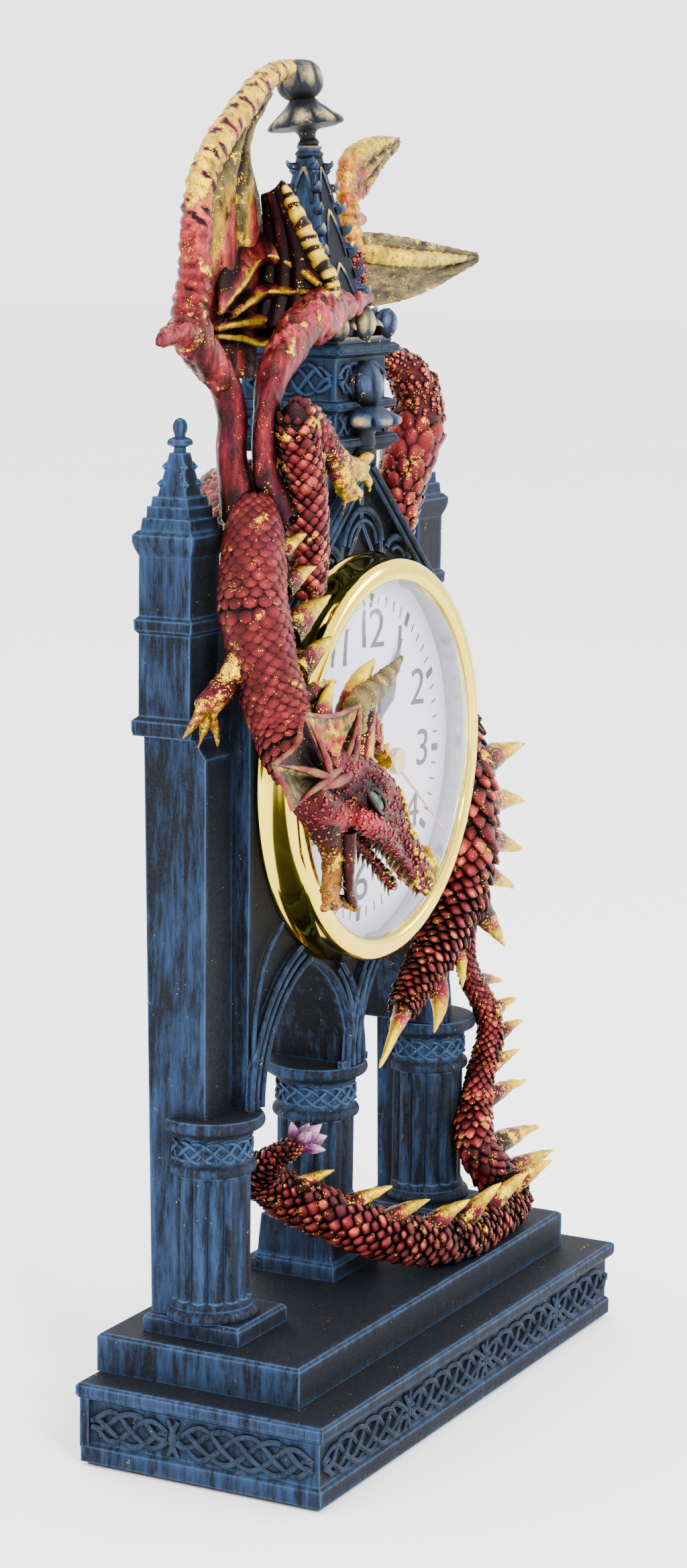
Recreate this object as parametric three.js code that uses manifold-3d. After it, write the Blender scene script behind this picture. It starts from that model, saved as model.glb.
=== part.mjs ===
// A gothic mantel clock with a dragon wound round it: plinth, arcade of three fluted
// columns, two towers, a gabled front that carries a quartz clock insert, a square turret
// with spire, and the dragon on top of it all. Millimetres, +Z up, the dial faces -Y, and
// the origin is the middle of the felt's underside.
import * as THREE from "three";
import { mergeVertices } from "three/addons/utils/BufferGeometryUtils.js";
import Module from "manifold-3d";

const wasm = await Module();
wasm.setup();

// Height of the dial's middle: the arcade's columns reach up to it, and all above them hangs on it
const DIAL_HEIGHT = 146;

// Plinth
const SLAB = { length: 152, depth: 60, top: 18.5, frieze: 1.6, footInset: 0.8, border: 3 };
const FELT = { inset: 2, height: 0.8 };
const STEP = { halfLength: 67.2, front: -19.6, back: 30, top: 27 };

// Arcade
const FOOT_HEIGHT = 4;
const COLUMN = { radius: 8.8, flutes: 14, fluteDepth: 0.8, x: 52.5, y: 10.5 };
const MIDDLE = { y: 12.8, blockHalf: 9.6, blockHeight: 9 };
const CAPITAL = { radius: 11.6, bottom: DIAL_HEIGHT - 82.5, top: DIAL_HEIGHT - 70.5 };
const PIER = { outer: 59.5, inner: 48, front: 7.8, back: 20.9, top: DIAL_HEIGHT + 11, lean: 0.6,
  spread: 2.5 };

// Towers
const TOWER = { x: 53.3, y: 18.6, half: 6.2, roof: PIER.top + 43.4, finial: PIER.top + 59.5 };

// Clock front
const FRONT = { face: 4.1, back: 24, halfWidth: 48, bottom: CAPITAL.top + 0.1, shoulder: DIAL_HEIGHT + 26,
  apex: DIAL_HEIGHT + 67 };
const ARCH = { centre: 22.4, halfSpan: 20.8, rise: 28, moulding: 1.3, relief: 1.4, outer: 4.6 };
const BORE = 40.1;
const GABLE = { band: 3.2, relief: 2.2 };
const TRACERY = { relief: 1.2, barRelief: 1, width: 1.5 };

// Turret and spire
const TURRET = { y: 15.6, shaftHalf: 11.7, shaftFront: 5.6, shaftBottom: DIAL_HEIGHT + 46,
  ledge: DIAL_HEIGHT + 69, top: DIAL_HEIGHT + 91.8 };
const SPIRE = { half: 9.2, topHalf: 1.8, top: DIAL_HEIGHT + 133.5, topY: 17.3 };
const GABLE_FINIAL = { x: -1.2, y: 2.6, bottom: FRONT.apex + 0.5 };
const FINIAL_LEAN = THREE.MathUtils.degToRad(10);

// Clock insert: radii and heights in its own frame, z towards the viewer
const BEZEL = { radius: 45, opening: 40, seat: 42.4, back: -4 };
const DIAL = { radius: 42.1, face: -1.5, thickness: 0.4 };
const CUP = { radius: 39.6, flange: 42.1, wall: 1.6, floor: 1.3, back: -19, cover: 1.6 };
const RUNNING = 0.06;
const TRAIN = { distance: 7.2, secondArbor: 0.5, minuteTube: 1.3, hourTube: 2, arbor: 0.6 };
const TEETH = { minutePinion: 12, motion: 36, motionPinion: 10, hour: 40, minute: 64,
  thirdPinion: 8, third: 60, secondPinion: 8 };
const HANDS = { hour: -0.9, minute: 2.8, second: 5.2, hourAt: 31.5, minuteAt: 250, secondAt: 127 };
const CELL = { radius: 5.2, length: 44, y: -21, z: -11.5 };
const DOOR = { length: 48, height: 13, gap: 0.3 };

const finish = (color, roughness, metalness = 0) =>
  new THREE.MeshStandardMaterial({ color, roughness, metalness });
const STONE = finish(0x26334a, 0.6, 0.1);
const FELT_CLOTH = finish(0x17181b, 0.98);
const SCALES = finish(0x9c2430, 0.35, 0.5);
const WING = finish(0xa8323c, 0.4, 0.4);
const BONE = finish(0xb89a6a, 0.5, 0.15);
const CLAW = finish(0xb8892e, 0.35, 0.8);
const GEM = finish(0xb79ac8, 0.25, 0.3);
const EYE = finish(0x3f9a48, 0.15, 0.1);
const GILT = finish(0xe3c978, 0.12, 1);
const GLASS = finish(0xdfe6ee, 0.03);
const SILVER = finish(0xe6e6ec, 0.2, 0.8);
const PAPER = finish(0xe6e2f0, 0.6);
const HAND_GREY = finish(0x8b8d93, 0.3, 0.8);
const HAND_RED = finish(0xd4476a, 0.4, 0.1);
const BLACK_PLASTIC = finish(0x15161a, 0.5);
const WHITE_PLASTIC = finish(0xe8e6df, 0.5);
const BRASS = finish(0xc9a24a, 0.3, 0.9);
const STEEL = finish(0xa9adb3, 0.3, 0.9);
const BOARD = finish(0x2f6b3c, 0.6);
const CELL_JACKET = finish(0x2b4f8c, 0.4, 0.5);

const group = new THREE.Group();
group.name = "dragon_clock";

function add(parent, name, geometry, material, at = [0, 0, 0]) {
  const mesh = new THREE.Mesh(geometry, material);
  mesh.name = name;
  mesh.position.set(...at);
  parent.add(mesh);
  return mesh;
}

// A geometry as a solid for cutting and joining, with its seams welded.
function solid(geometry) {
  const bare = geometry.index ? geometry.toNonIndexed() : geometry.clone();
  bare.deleteAttribute("normal");
  bare.deleteAttribute("uv");
  const welded = mergeVertices(bare, 1e-4);
  const corners = [];
  const index = welded.index.array;
  for (let i = 0; i < index.length; i += 3) {
    const [a, b, c] = [index[i], index[i + 1], index[i + 2]];
    if (a !== b && b !== c && c !== a) corners.push(a, b, c);
  }
  return new wasm.Manifold(new wasm.Mesh({
    numProp: 3,
    vertProperties: welded.attributes.position.array,
    triVerts: new Uint32Array(corners),
  }));
}

function geometryOf(body) {
  const mesh = body.getMesh();
  const made = new THREE.BufferGeometry();
  made.setAttribute("position", new THREE.BufferAttribute(mesh.vertProperties, 3));
  made.setIndex(new THREE.BufferAttribute(mesh.triVerts, 1));
  made.computeVertexNormals();
  return made;
}

const joined = (...bodies) => bodies.reduce((sum, body) => sum.add(body));
const cut = (body, ...tools) => tools.reduce((rest, tool) => rest.subtract(tool), body);

// The biggest piece of a body that cutting may have left in several pieces.
function main(body) {
  const pieces = body.decompose();
  return pieces.reduce((best, piece) => (piece.volume() > best.volume() ? piece : best));
}

// Skins a row of rings of [x, y, z] points and closes both ends.
function loft(rings) {
  const count = rings[0].length;
  const points = rings.flat();
  const centre = (ring) => [0, 1, 2].map((k) => ring.reduce((s, p) => s + p[k], 0) / count);
  points.push(centre(rings[0]), centre(rings.at(-1)));
  const faces = [];
  for (let r = 0; r + 1 < rings.length; r++)
    for (let i = 0; i < count; i++) {
      const [a, b] = [r * count + i, r * count + ((i + 1) % count)];
      faces.push(a, b, b + count, a, b + count, a + count);
    }
  const last = (rings.length - 1) * count;
  for (let i = 0; i < count; i++) {
    const next = (i + 1) % count;
    faces.push(points.length - 2, next, i, points.length - 1, last + i, last + next);
  }
  let volume = 0;
  for (let i = 0; i < faces.length; i += 3) {
    const [a, b, c] = [0, 1, 2].map((k) => new THREE.Vector3(...points[faces[i + k]]));
    volume += a.dot(b.cross(c));
  }
  if (volume < 0) faces.reverse();
  const made = new THREE.BufferGeometry();
  made.setAttribute("position", new THREE.Float32BufferAttribute(points.flat(), 3));
  made.setIndex(faces);
  made.computeVertexNormals();
  return made;
}

// Rectangular courses: each level is [z, x0, x1, y0, y1].
const courses = (levels) =>
  loft(levels.map(([z, x0, x1, y0, y1]) => [[x0, y0, z], [x1, y0, z], [x1, y1, z], [x0, y1, z]]));

const box = (x0, x1, y0, y1, z0, z1) => courses([[z0, x0, x1, y0, y1], [z1, x0, x1, y0, y1]]);

// A solid turned round +Z from a closed profile of [radius, z] points, given in either order.
function turned(profile, segments = 40) {
  const points = profile.map(([r, z]) => new THREE.Vector2(r, z));
  if (THREE.ShapeUtils.area(points) < 0) points.reverse();
  return new THREE.LatheGeometry([...points, points[0]], segments).rotateX(Math.PI / 2);
}

// Square courses about +Z from a profile of [half width, z] points.
const squared = (profile) => courses(profile.map(([h, z]) => [z, -h, h, -h, h]));

// A flat outline in x and z, given depth from y = front backwards.
function slabOf(shape, front, back) {
  const made = new THREE.ExtrudeGeometry(shape, { depth: back - front, bevelEnabled: false,
    curveSegments: 16 });
  return made.rotateX(Math.PI / 2).translate(0, back, 0);
}

const outline = (points) => new THREE.Shape(points.map(([x, z]) => new THREE.Vector2(x, z)));

// Rings of a tube along a smooth path. Stations are [x, y, z, radius].
function tube(stations, { steps = 24, sides = 8, flat = 1 } = {}) {
  const curve = new THREE.CatmullRomCurve3(
    stations.map(([x, y, z]) => new THREE.Vector3(x, y, z)), false, "centripetal");
  let side = null;
  const rings = [];
  for (let i = 0; i <= steps; i++) {
    const t = i / steps;
    const along = curve.getTangent(t);
    side ??= new THREE.Vector3(0, 1, 0.3);
    side = side.sub(along.clone().multiplyScalar(side.dot(along))).normalize();
    const up = along.clone().cross(side);
    const place = t * (stations.length - 1);
    const k = Math.min(Math.floor(place), stations.length - 2);
    const radius = THREE.MathUtils.lerp(stations[k][3], stations[k + 1][3], place - k);
    const middle = curve.getPoint(t);
    rings.push(Array.from({ length: sides }, (_, j) => {
      const turn = (2 * Math.PI * j) / sides;
      return middle.clone().addScaledVector(side, radius * Math.cos(turn) * flat)
        .addScaledVector(up, radius * Math.sin(turn)).toArray();
    }));
  }
  return loft(rings);
}

// A claw, horn or spike from a root to a tip, bowed by the offset in its middle.
const spike = (root, tip, radius, bow = [0, 0, 0], sides = 5) =>
  tube([[...root, radius],
    [...root.map((v, k) => (v + tip[k]) / 2 + bow[k]), radius * 0.62],
    [...tip, 0.12]], { steps: sides > 6 ? 4 : 2, sides });

// A thin closed sheet skinned over rows of [x, y, z] points.
function sheet(rows, thickness) {
  const at = (r, c) => new THREE.Vector3(...rows[r][c]);
  const rings = rows.map((row, r) => {
    const front = [], back = [];
    row.forEach((point, c) => {
      const along = at(r, Math.min(c + 1, row.length - 1)).sub(at(r, Math.max(c - 1, 0)));
      const across = at(Math.min(r + 1, rows.length - 1), c).sub(at(Math.max(r - 1, 0), c));
      const out = along.cross(across).normalize().multiplyScalar(thickness / 2);
      front.push(new THREE.Vector3(...point).add(out).toArray());
      back.unshift(new THREE.Vector3(...point).sub(out).toArray());
    });
    return [...front, ...back];
  });
  return loft(rings);
}

// Everything of stone, for the dragon to be fitted round.
const masonry = [];
function lay(name, body) {
  masonry.push(body);
  return add(group, name, geometryOf(body), STONE);
}

// PLINTH
const half = { x: SLAB.length / 2, y: SLAB.depth / 2 };
add(group, "felt_pad", box(-half.x + FELT.inset, half.x - FELT.inset, -half.y + FELT.inset,
  half.y - FELT.inset, 0, FELT.height), FELT_CLOTH);

const slabCourse = (z, inset, backInset = inset) =>
  [z, -half.x + inset, half.x - inset, -half.y + inset, half.y - backInset];
const slabBody = solid(courses([
  slabCourse(FELT.height, SLAB.footInset), slabCourse(4.3, SLAB.footInset),
  slabCourse(5.1, SLAB.frieze, SLAB.footInset), slabCourse(14.4, SLAB.frieze, SLAB.footInset),
  slabCourse(15.2, 0.4), slabCourse(16, 0), slabCourse(17.9, 0), slabCourse(SLAB.top, 0.6),
]));
const endBorder = (side) => solid(box(side * half.x - (side > 0 ? SLAB.frieze + 0.4 : -0.4),
  side * half.x - (side > 0 ? 0.4 : -SLAB.frieze - 0.4), half.y - SLAB.border, half.y - 0.8, 4.3, 15.3));
lay("plinth_slab", joined(slabBody, endBorder(1), endBorder(-1)));

const stepCourse = (z, inset) =>
  [z, -STEP.halfLength + inset, STEP.halfLength - inset, STEP.front + inset, STEP.back - inset];
lay("plinth_step", solid(courses([
  stepCourse(SLAB.top, 0), stepCourse(STEP.top - 0.7, 0), stepCourse(STEP.top, 0.7)])));

// ARCADE
const footTop = STEP.top + FOOT_HEIGHT;
const footPlate = (x0, x1, y0, y1) => courses([
  [STEP.top, x0, x1, y0, y1], [footTop - 0.8, x0, x1, y0, y1],
  [footTop, x0 + 0.7, x1 - 0.7, y0 + 0.7, y1 - 0.7]]);
for (const [name, side] of [["left", -1], ["right", 1]])
  lay(`foot_plate_${name}`, solid(footPlate(-10.7, 10.7, -12, 11.7)).translate([side * 50.3, COLUMN.y, 0]));
lay("foot_plate_middle", joined(
  solid(footPlate(-10.7, 10.7, MIDDLE.y - 10.7, MIDDLE.y + 10.7)),
  solid(courses([
    [footTop, -MIDDLE.blockHalf, MIDDLE.blockHalf, MIDDLE.y - MIDDLE.blockHalf,
      MIDDLE.y + MIDDLE.blockHalf],
    [footTop + MIDDLE.blockHeight, -MIDDLE.blockHalf + 0.6, MIDDLE.blockHalf - 0.6,
      MIDDLE.y - MIDDLE.blockHalf + 0.6, MIDDLE.y + MIDDLE.blockHalf - 0.6]]))));

// A column from its own foot to the arcade's springing: torus, fluted shaft and banded capital.
function column(bottom) {
  const scallop = [];
  const count = COLUMN.flutes * 2;
  for (let i = 0; i < count; i++) {
    const dip = (i % 2) * COLUMN.fluteDepth;
    const turn = (2 * Math.PI * i) / count;
    scallop.push([(COLUMN.radius - dip) * Math.cos(turn), (COLUMN.radius - dip) * Math.sin(turn)]);
  }
  const shaft = new THREE.ExtrudeGeometry(outline(scallop),
    { depth: CAPITAL.bottom - bottom, bevelEnabled: false }).translate(0, 0, bottom);
  const swell = (extra, z) => [COLUMN.radius + extra, z];
  const foot = turned([[0, bottom], swell(1.7, bottom), swell(2, bottom + 1),
    swell(1.7, bottom + 2), swell(0.4, bottom + 3.6), [0, bottom + 3.6]], 18);
  const head = turned([[0, CAPITAL.bottom - 0.5], swell(0.2, CAPITAL.bottom - 0.5),
    swell(1, CAPITAL.bottom + 0.2), swell(1, CAPITAL.bottom + 1.6), swell(0.2, CAPITAL.bottom + 2.1),
    swell(0.2, CAPITAL.top - 3.4), [CAPITAL.radius, CAPITAL.top - 2],
    [CAPITAL.radius, CAPITAL.top - 0.6], [CAPITAL.radius - 0.6, CAPITAL.top], [0, CAPITAL.top]], 18);
  return joined(solid(shaft), solid(foot), solid(head));
}

function pier(side) {
  const edges = (inset) => [Math.min(side * (PIER.outer - inset), side * PIER.inner),
    Math.max(side * (PIER.outer - inset), side * PIER.inner)];
  const level = (z, inset, front) => {
    const rise = (z - footTop) / (PIER.top - footTop);
    return [z, ...edges(inset), PIER.front + PIER.lean * rise + front, PIER.back + PIER.spread * rise];
  };
  return solid(courses([level(footTop, 0, 0), level(PIER.top - 4, 0, 0), level(PIER.top, 0, 2.8)]));
}

const piers = { left: pier(-1), right: pier(1) };
const columns = {};
for (const [name, side] of [["left", -1], ["right", 1]]) {
  lay(`pier_${name}`, piers[name]);
  columns[name] = main(cut(column(footTop).translate([side * COLUMN.x, COLUMN.y, 0]), piers[name]));
  lay(`column_${name}`, columns[name]);
}
columns.middle = column(footTop + MIDDLE.blockHeight).translate([0, MIDDLE.y, 0]);
lay("column_middle", columns.middle);

// TOWERS
const towerStage = squared([[7, PIER.top], [7.3, PIER.top + 1.2], [7.3, PIER.top + 3.2],
  [TOWER.half, PIER.top + 4.2], [TOWER.half, PIER.top + 21.6], [6.9, PIER.top + 22.4],
  [7, PIER.top + 24.6], [TOWER.half, PIER.top + 25.4], [TOWER.half, TOWER.roof - 5.4],
  [6.9, TOWER.roof - 3.8], [7.3, TOWER.roof - 2.4], [7.3, TOWER.roof - 1], [6.3, TOWER.roof]]);
const roofSteps = squared([[6, TOWER.roof], [5.7, TOWER.roof + 2.6], [5.1, TOWER.roof + 2.61],
  [5, TOWER.roof + 5], [4.4, TOWER.roof + 5.01], [4.2, TOWER.roof + 7], [3.4, TOWER.roof + 7.01],
  [1.6, TOWER.finial]]);
const ball = turned([[0, -0.5], [1.4, -0.5], [1.3, 1.1], [2.8, 1.7], [2.7, 2.7], [1.1, 3.4], [1.6, 4.9],
  [1.6, 5.9], [1, 6.9], [0, 7.3]].map(([r, up]) => [r, TOWER.finial + up]), 8);
const crockets = [];
for (const [z, reach] of [[TOWER.roof + 9.6, 2.85], [TOWER.roof + 13.2, 2.1]])
  for (const [sx, sy] of [[1, 1], [1, -1], [-1, 1], [-1, -1]])
    crockets.push(solid(new THREE.OctahedronGeometry(1.1, 0).translate(sx * reach, sy * reach, z)));
const towerRoof = joined(solid(roofSteps), solid(ball), ...crockets);
const towers = {};
for (const [name, side] of [["left", -1], ["right", 1]]) {
  const at = [side * TOWER.x, TOWER.y, 0];
  add(group, `tower_${name}`, towerStage, STONE, at);
  add(group, `tower_roof_${name}`, geometryOf(towerRoof), STONE, at);
  towers[name] = joined(solid(towerStage), towerRoof).translate(at);
  masonry.push(towers[name]);
}

// CLOCK FRONT
const LIMB = 6;
// One half of a pointed arch from its springing to its apex, as [x, z] points.
function limb(centre, reach, rise, side) {
  const radius = (reach * reach + rise * rise) / (2 * reach);
  const sweep = Math.asin(rise / radius);
  return Array.from({ length: LIMB + 1 }, (_, i) => {
    const turn = (sweep * i) / LIMB;
    return [centre + side * (reach - radius + radius * Math.cos(turn)),
      FRONT.bottom + radius * Math.sin(turn)];
  });
}
const archOpening = (centre, grow) => [
  ...limb(centre, ARCH.halfSpan + grow, ARCH.rise + grow, -1),
  ...limb(centre, ARCH.halfSpan + grow, ARCH.rise + grow, 1).reverse().slice(1)];

const wallOutline = [[-FRONT.halfWidth, FRONT.bottom], ...archOpening(-ARCH.centre, 0),
  ...archOpening(ARCH.centre, 0), [FRONT.halfWidth, FRONT.bottom],
  [FRONT.halfWidth, FRONT.shoulder], [0, FRONT.apex], [-FRONT.halfWidth, FRONT.shoulder]];
const wallShape = outline(wallOutline);
wallShape.holes.push(new THREE.Path().absarc(0, DIAL_HEIGHT, BORE, 0, 2 * Math.PI, true));
const shaftBox = box(-TURRET.shaftHalf, TURRET.shaftHalf, TURRET.shaftFront, FRONT.back + 1,
  TURRET.shaftBottom, TURRET.ledge);
const wall = main(cut(solid(slabOf(wallShape, FRONT.face, FRONT.back)), solid(shaftBox),
  towers.left, towers.right, piers.left, piers.right));
lay("clock_front", wall);

// A raised arch of mouldings round each opening, tied together by imposts on the capitals.
const archBand = (centre, grow, width) => {
  const whole = solid(slabOf(outline(archOpening(centre, grow + width)), FRONT.face - ARCH.relief,
    FRONT.face));
  return cut(whole, solid(slabOf(outline([
    [centre - 60, FRONT.bottom - 1], [centre - 60, FRONT.bottom], ...archOpening(centre, grow),
    [centre + 60, FRONT.bottom], [centre + 60, FRONT.bottom - 1]]), 0, FRONT.face + 1)));
};
const impost = (x0, x1) => solid(box(x0, x1, FRONT.face - ARCH.relief, FRONT.face,
  FRONT.bottom, FRONT.bottom + 1.6));
const archTracery = joined(
  ...[-1, 1].flatMap((side) => [archBand(side * ARCH.centre, 0, ARCH.moulding),
    archBand(side * ARCH.centre, ARCH.outer, ARCH.moulding)]),
  impost(-6, 6), impost(-49, -43), impost(43, 49));
// Room for the bezel's rim, which laps the mouldings.
const drum = solid(new THREE.CylinderGeometry(46.2, 46.2, 8, 64)).translate([0, FRONT.face - 4, DIAL_HEIGHT]);
lay("arch_mouldings", main(cut(archTracery, drum)));

const slope = (FRONT.apex - FRONT.shoulder) / FRONT.halfWidth;
const drop = GABLE.band * Math.sqrt(1 + slope * slope);
const gableOutline = [[-FRONT.halfWidth, FRONT.shoulder + 0.8], [0, FRONT.apex + 0.8],
  [FRONT.halfWidth, FRONT.shoulder + 0.8], [FRONT.halfWidth, FRONT.shoulder + 0.8 - drop],
  [0, FRONT.apex + 0.8 - drop], [-FRONT.halfWidth, FRONT.shoulder + 0.8 - drop]];
const gableBand = solid(slabOf(outline(gableOutline), FRONT.face - GABLE.relief, FRONT.face));
const ringBand = (x, z, radius) => cut(
  solid(new THREE.CylinderGeometry(radius, radius, TRACERY.relief, 24)),
  solid(new THREE.CylinderGeometry(radius - TRACERY.width, radius - TRACERY.width, 4, 24)),
).translate([x, FRONT.face - TRACERY.relief / 2, z]);
const bar = (x0, z0, x1, z1, width) => {
  const length = Math.hypot(x1 - x0, z1 - z0);
  const [nx, nz] = [(-(z1 - z0) / length) * width / 2, ((x1 - x0) / length) * width / 2];
  return solid(slabOf(outline([[x0 + nx, z0 + nz], [x0 - nx, z0 - nz], [x1 - nx, z1 - nz],
    [x1 + nx, z1 + nz]]), FRONT.face - TRACERY.barRelief, FRONT.face));
};
const lobe = { middle: DIAL_HEIGHT + 46, side: DIAL_HEIGHT + 41.2 };
const trefoil = cut(joined(ringBand(0, lobe.middle, 10.2), ringBand(-16.4, lobe.side, 7.6),
  ringBand(16.4, lobe.side, 7.6), bar(0, lobe.middle + 6, 0, FRONT.apex - 1, 1.4),
  bar(0.3, lobe.middle + 7, -6, lobe.middle - 1, 1.1),
  bar(-0.3, lobe.middle + 7, 6, lobe.middle - 1, 1.1)), drum);
const gable = main(joined(gableBand, trefoil));
lay("gable_mouldings", gable);

// TURRET, SPIRE AND PINNACLES
const turretCourse = (h, z) => [z, -h, h, TURRET.y - h, TURRET.y + h];
const turretBody = joined(
  solid(box(-TURRET.shaftHalf, TURRET.shaftHalf, TURRET.shaftFront, FRONT.back,
    TURRET.shaftBottom, TURRET.ledge)),
  solid(courses([turretCourse(12.2, TURRET.ledge - 1), turretCourse(13.2, TURRET.ledge + 0.4),
    turretCourse(13.9, TURRET.ledge + 1.2), turretCourse(13.9, TURRET.ledge + 2.4),
    turretCourse(12, TURRET.ledge + 3), turretCourse(12, TURRET.ledge + 7.8),
    turretCourse(13.6, TURRET.ledge + 8.8), turretCourse(13.6, TURRET.ledge + 10.2),
    turretCourse(11.7, TURRET.ledge + 10.7), turretCourse(11.7, TURRET.top - 3),
    turretCourse(13.9, TURRET.top - 2), turretCourse(14.1, TURRET.top - 0.6),
    turretCourse(13.2, TURRET.top)])));
lay("turret", turretBody);

const bud = (radius, height, x, y, z) => solid(turned([[0, z - 0.4], [radius * 0.55, z - 0.4],
  [radius * 0.5, z + 0.3], [radius, z + height * 0.35], [radius * 0.92, z + height * 0.6],
  [radius * 0.35, z + height * 0.95], [0, z + height]], 6)).translate([x, y, 0]);
const crownTop = TURRET.top + 1.4;
const crownBuds = [];
for (const [sx, sy] of [[-1, -1], [0, -1], [1, -1], [1, 0], [1, 1], [0, 1], [-1, 1], [-1, 0]])
  crownBuds.push(bud(sx && sy ? 2.5 : 3, sx && sy ? 5 : 5.6, sx * 11.4, TURRET.y + sy * 11.4, crownTop));
const crown = joined(solid(courses([turretCourse(12.9, TURRET.top), turretCourse(12.7, crownTop)])),
  ...crownBuds);
lay("crown_of_buds", crown);

const spireLevel = (t) => {
  const h = THREE.MathUtils.lerp(SPIRE.half, SPIRE.topHalf, t);
  const y = THREE.MathUtils.lerp(TURRET.y, SPIRE.topY, t);
  return [THREE.MathUtils.lerp(crownTop + 2, SPIRE.top, t), -h, h, y - h, y + h];
};
const [, , spireHalf] = spireLevel(0);
const spireCrockets = [];
for (const t of [0.22, 0.45, 0.68, 0.88]) {
  const [z, , h, y0, y1] = spireLevel(t);
  for (const [x, y] of [[h, y0], [-h, y0], [h, y1], [-h, y1]])
    spireCrockets.push(solid(new THREE.OctahedronGeometry(1.6 - 0.5 * t, 0).translate(x, y, z)));
}
const spire = joined(
  solid(courses([[crownTop, -spireHalf - 0.6, spireHalf + 0.6, TURRET.y - spireHalf - 0.6,
    TURRET.y + spireHalf + 0.6], spireLevel(0), spireLevel(1)])), ...spireCrockets);
lay("spire", main(cut(spire, crown)));

const finial = new THREE.Group();
finial.name = "finial_seat";
finial.position.set(0, SPIRE.topY, SPIRE.top);
finial.rotation.x = -FINIAL_LEAN;
group.add(finial);
const finialProfile = [[0, 0.35], [1.7, 0.35], [2.2, 1], [2.2, 2], [1.7, 2.4], [2.2, 4.2],
  [8.2, 5.2], [8.5, 5.9], [5.6, 8.8], [3, 10.6], [3.2, 11.2], [5, 13], [5.3, 15.6], [4.4, 18],
  [2.2, 19.4], [0, 19.8]];
add(finial, "spire_finial", turned(finialProfile, 14), STONE);
const finialSolid = solid(turned(finialProfile, 14))
  .rotate([-THREE.MathUtils.radToDeg(FINIAL_LEAN), 0, 0]).translate([0, SPIRE.topY, SPIRE.top]);
masonry.push(finialSolid);

const gableFinialProfile = [[0, 0], [2, 0], [2.4, 0.9], [2, 1.8], [2.3, 2.4], [2.3, 5.1], [3, 5.9],
  [6.6, 7.5], [6.8, 8.5], [4.2, 10.3], [2.8, 11.1], [2.9, 11.7], [3.7, 14.9], [3.5, 16.9], [2, 19.5],
  [0.9, 20.7], [0, 20.8]];
lay("gable_finial", main(cut(
  solid(turned(gableFinialProfile, 16))
    .translate([GABLE_FINIAL.x, GABLE_FINIAL.y, GABLE_FINIAL.bottom]),
  wall, gable, turretBody, crown)));

// CLOCK INSERT, in its own frame: x to the right, y up the dial, z towards the viewer
const insert = new THREE.Group();
insert.name = "clock_insert";
insert.position.set(0, 0, DIAL_HEIGHT);
insert.rotation.x = Math.PI / 2;
group.add(insert);

const bezelProfile = [[BEZEL.seat, BEZEL.back], [45.7, BEZEL.back], [45.9, -3.3], [45.2, -2.4],
  [44.9, 0], [BEZEL.radius, 3.6], [44.8, 5], [43.6, 5.8], [41.6, 5.9], [BEZEL.opening + 0.2, 5.4],
  [BEZEL.opening, 4.9], [BEZEL.seat, 4.9]];
add(insert, "bezel", turned(bezelProfile, 48), GILT);
add(insert, "lens", turned([[0, 8.6], [14, 8.2], [27, 7], [35, 5.9], [38.6, 4.9], [39.9, 3.5],
  [42.1, 3.5], [42.1, 4.6], [40, 4.7], [39.5, 5.4], [35.3, 7], [27.4, 8.1], [14, 9.3], [0, 9.7]], 26),
GLASS);
add(insert, "inner_ring", turned([[40.7, DIAL.face], [42.1, DIAL.face], [42.1, 3.4], [41.1, 3.4]], 44),
  SILVER);
const dialBack = DIAL.face - DIAL.thickness;
add(insert, "dial", turned([[3, dialBack], [DIAL.radius, dialBack], [DIAL.radius, DIAL.face],
  [3, DIAL.face]], 40), PAPER);

const floorBack = dialBack - CUP.floor;
const saddle = (x) => solid(box(x - 1, x + 1, CELL.y - 3, CELL.y + 3, CELL.z + CELL.radius + 0.02,
  floorBack + 0.2));
const cup = joined(solid(turned([[3.6, dialBack], [CUP.flange, dialBack], [CUP.flange, -3.9],
  [CUP.radius, -3.95], [CUP.radius, CUP.back], [CUP.radius - CUP.wall, CUP.back],
  [CUP.radius - CUP.wall, floorBack], [3.6, floorBack]], 40)), saddle(-14), saddle(14));
add(insert, "insert_cup", geometryOf(cup), BLACK_PLASTIC);

const coverBack = CUP.back - CUP.cover;
const knobStem = 1.6;
const doorway = (grow, z0, z1) => box(-DOOR.length / 2 - grow, DOOR.length / 2 + grow,
  CELL.y - DOOR.height / 2 - grow, CELL.y + DOOR.height / 2 + grow, z0, z1);
const cover = cut(
  solid(turned([[0, coverBack], [CUP.radius, coverBack], [CUP.radius, CUP.back], [0, CUP.back]], 40)),
  solid(doorway(DOOR.gap, coverBack - 1, CUP.back + 1)),
  solid(new THREE.CylinderGeometry(knobStem + RUNNING, knobStem + RUNNING, 6, 20)
    .rotateX(Math.PI / 2).translate(TRAIN.distance, 0, CUP.back)));
add(insert, "back_cover", geometryOf(cover), BLACK_PLASTIC);
const doorGrip = [-2, 0, 2].map((y) => solid(box(-6, 6, CELL.y + y - 0.4, CELL.y + y + 0.4,
  coverBack - 0.6, coverBack + 0.2)));
add(insert, "battery_door", geometryOf(joined(solid(doorway(0, coverBack, CUP.back - 0.2)),
  ...doorGrip)), BLACK_PLASTIC);

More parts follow.
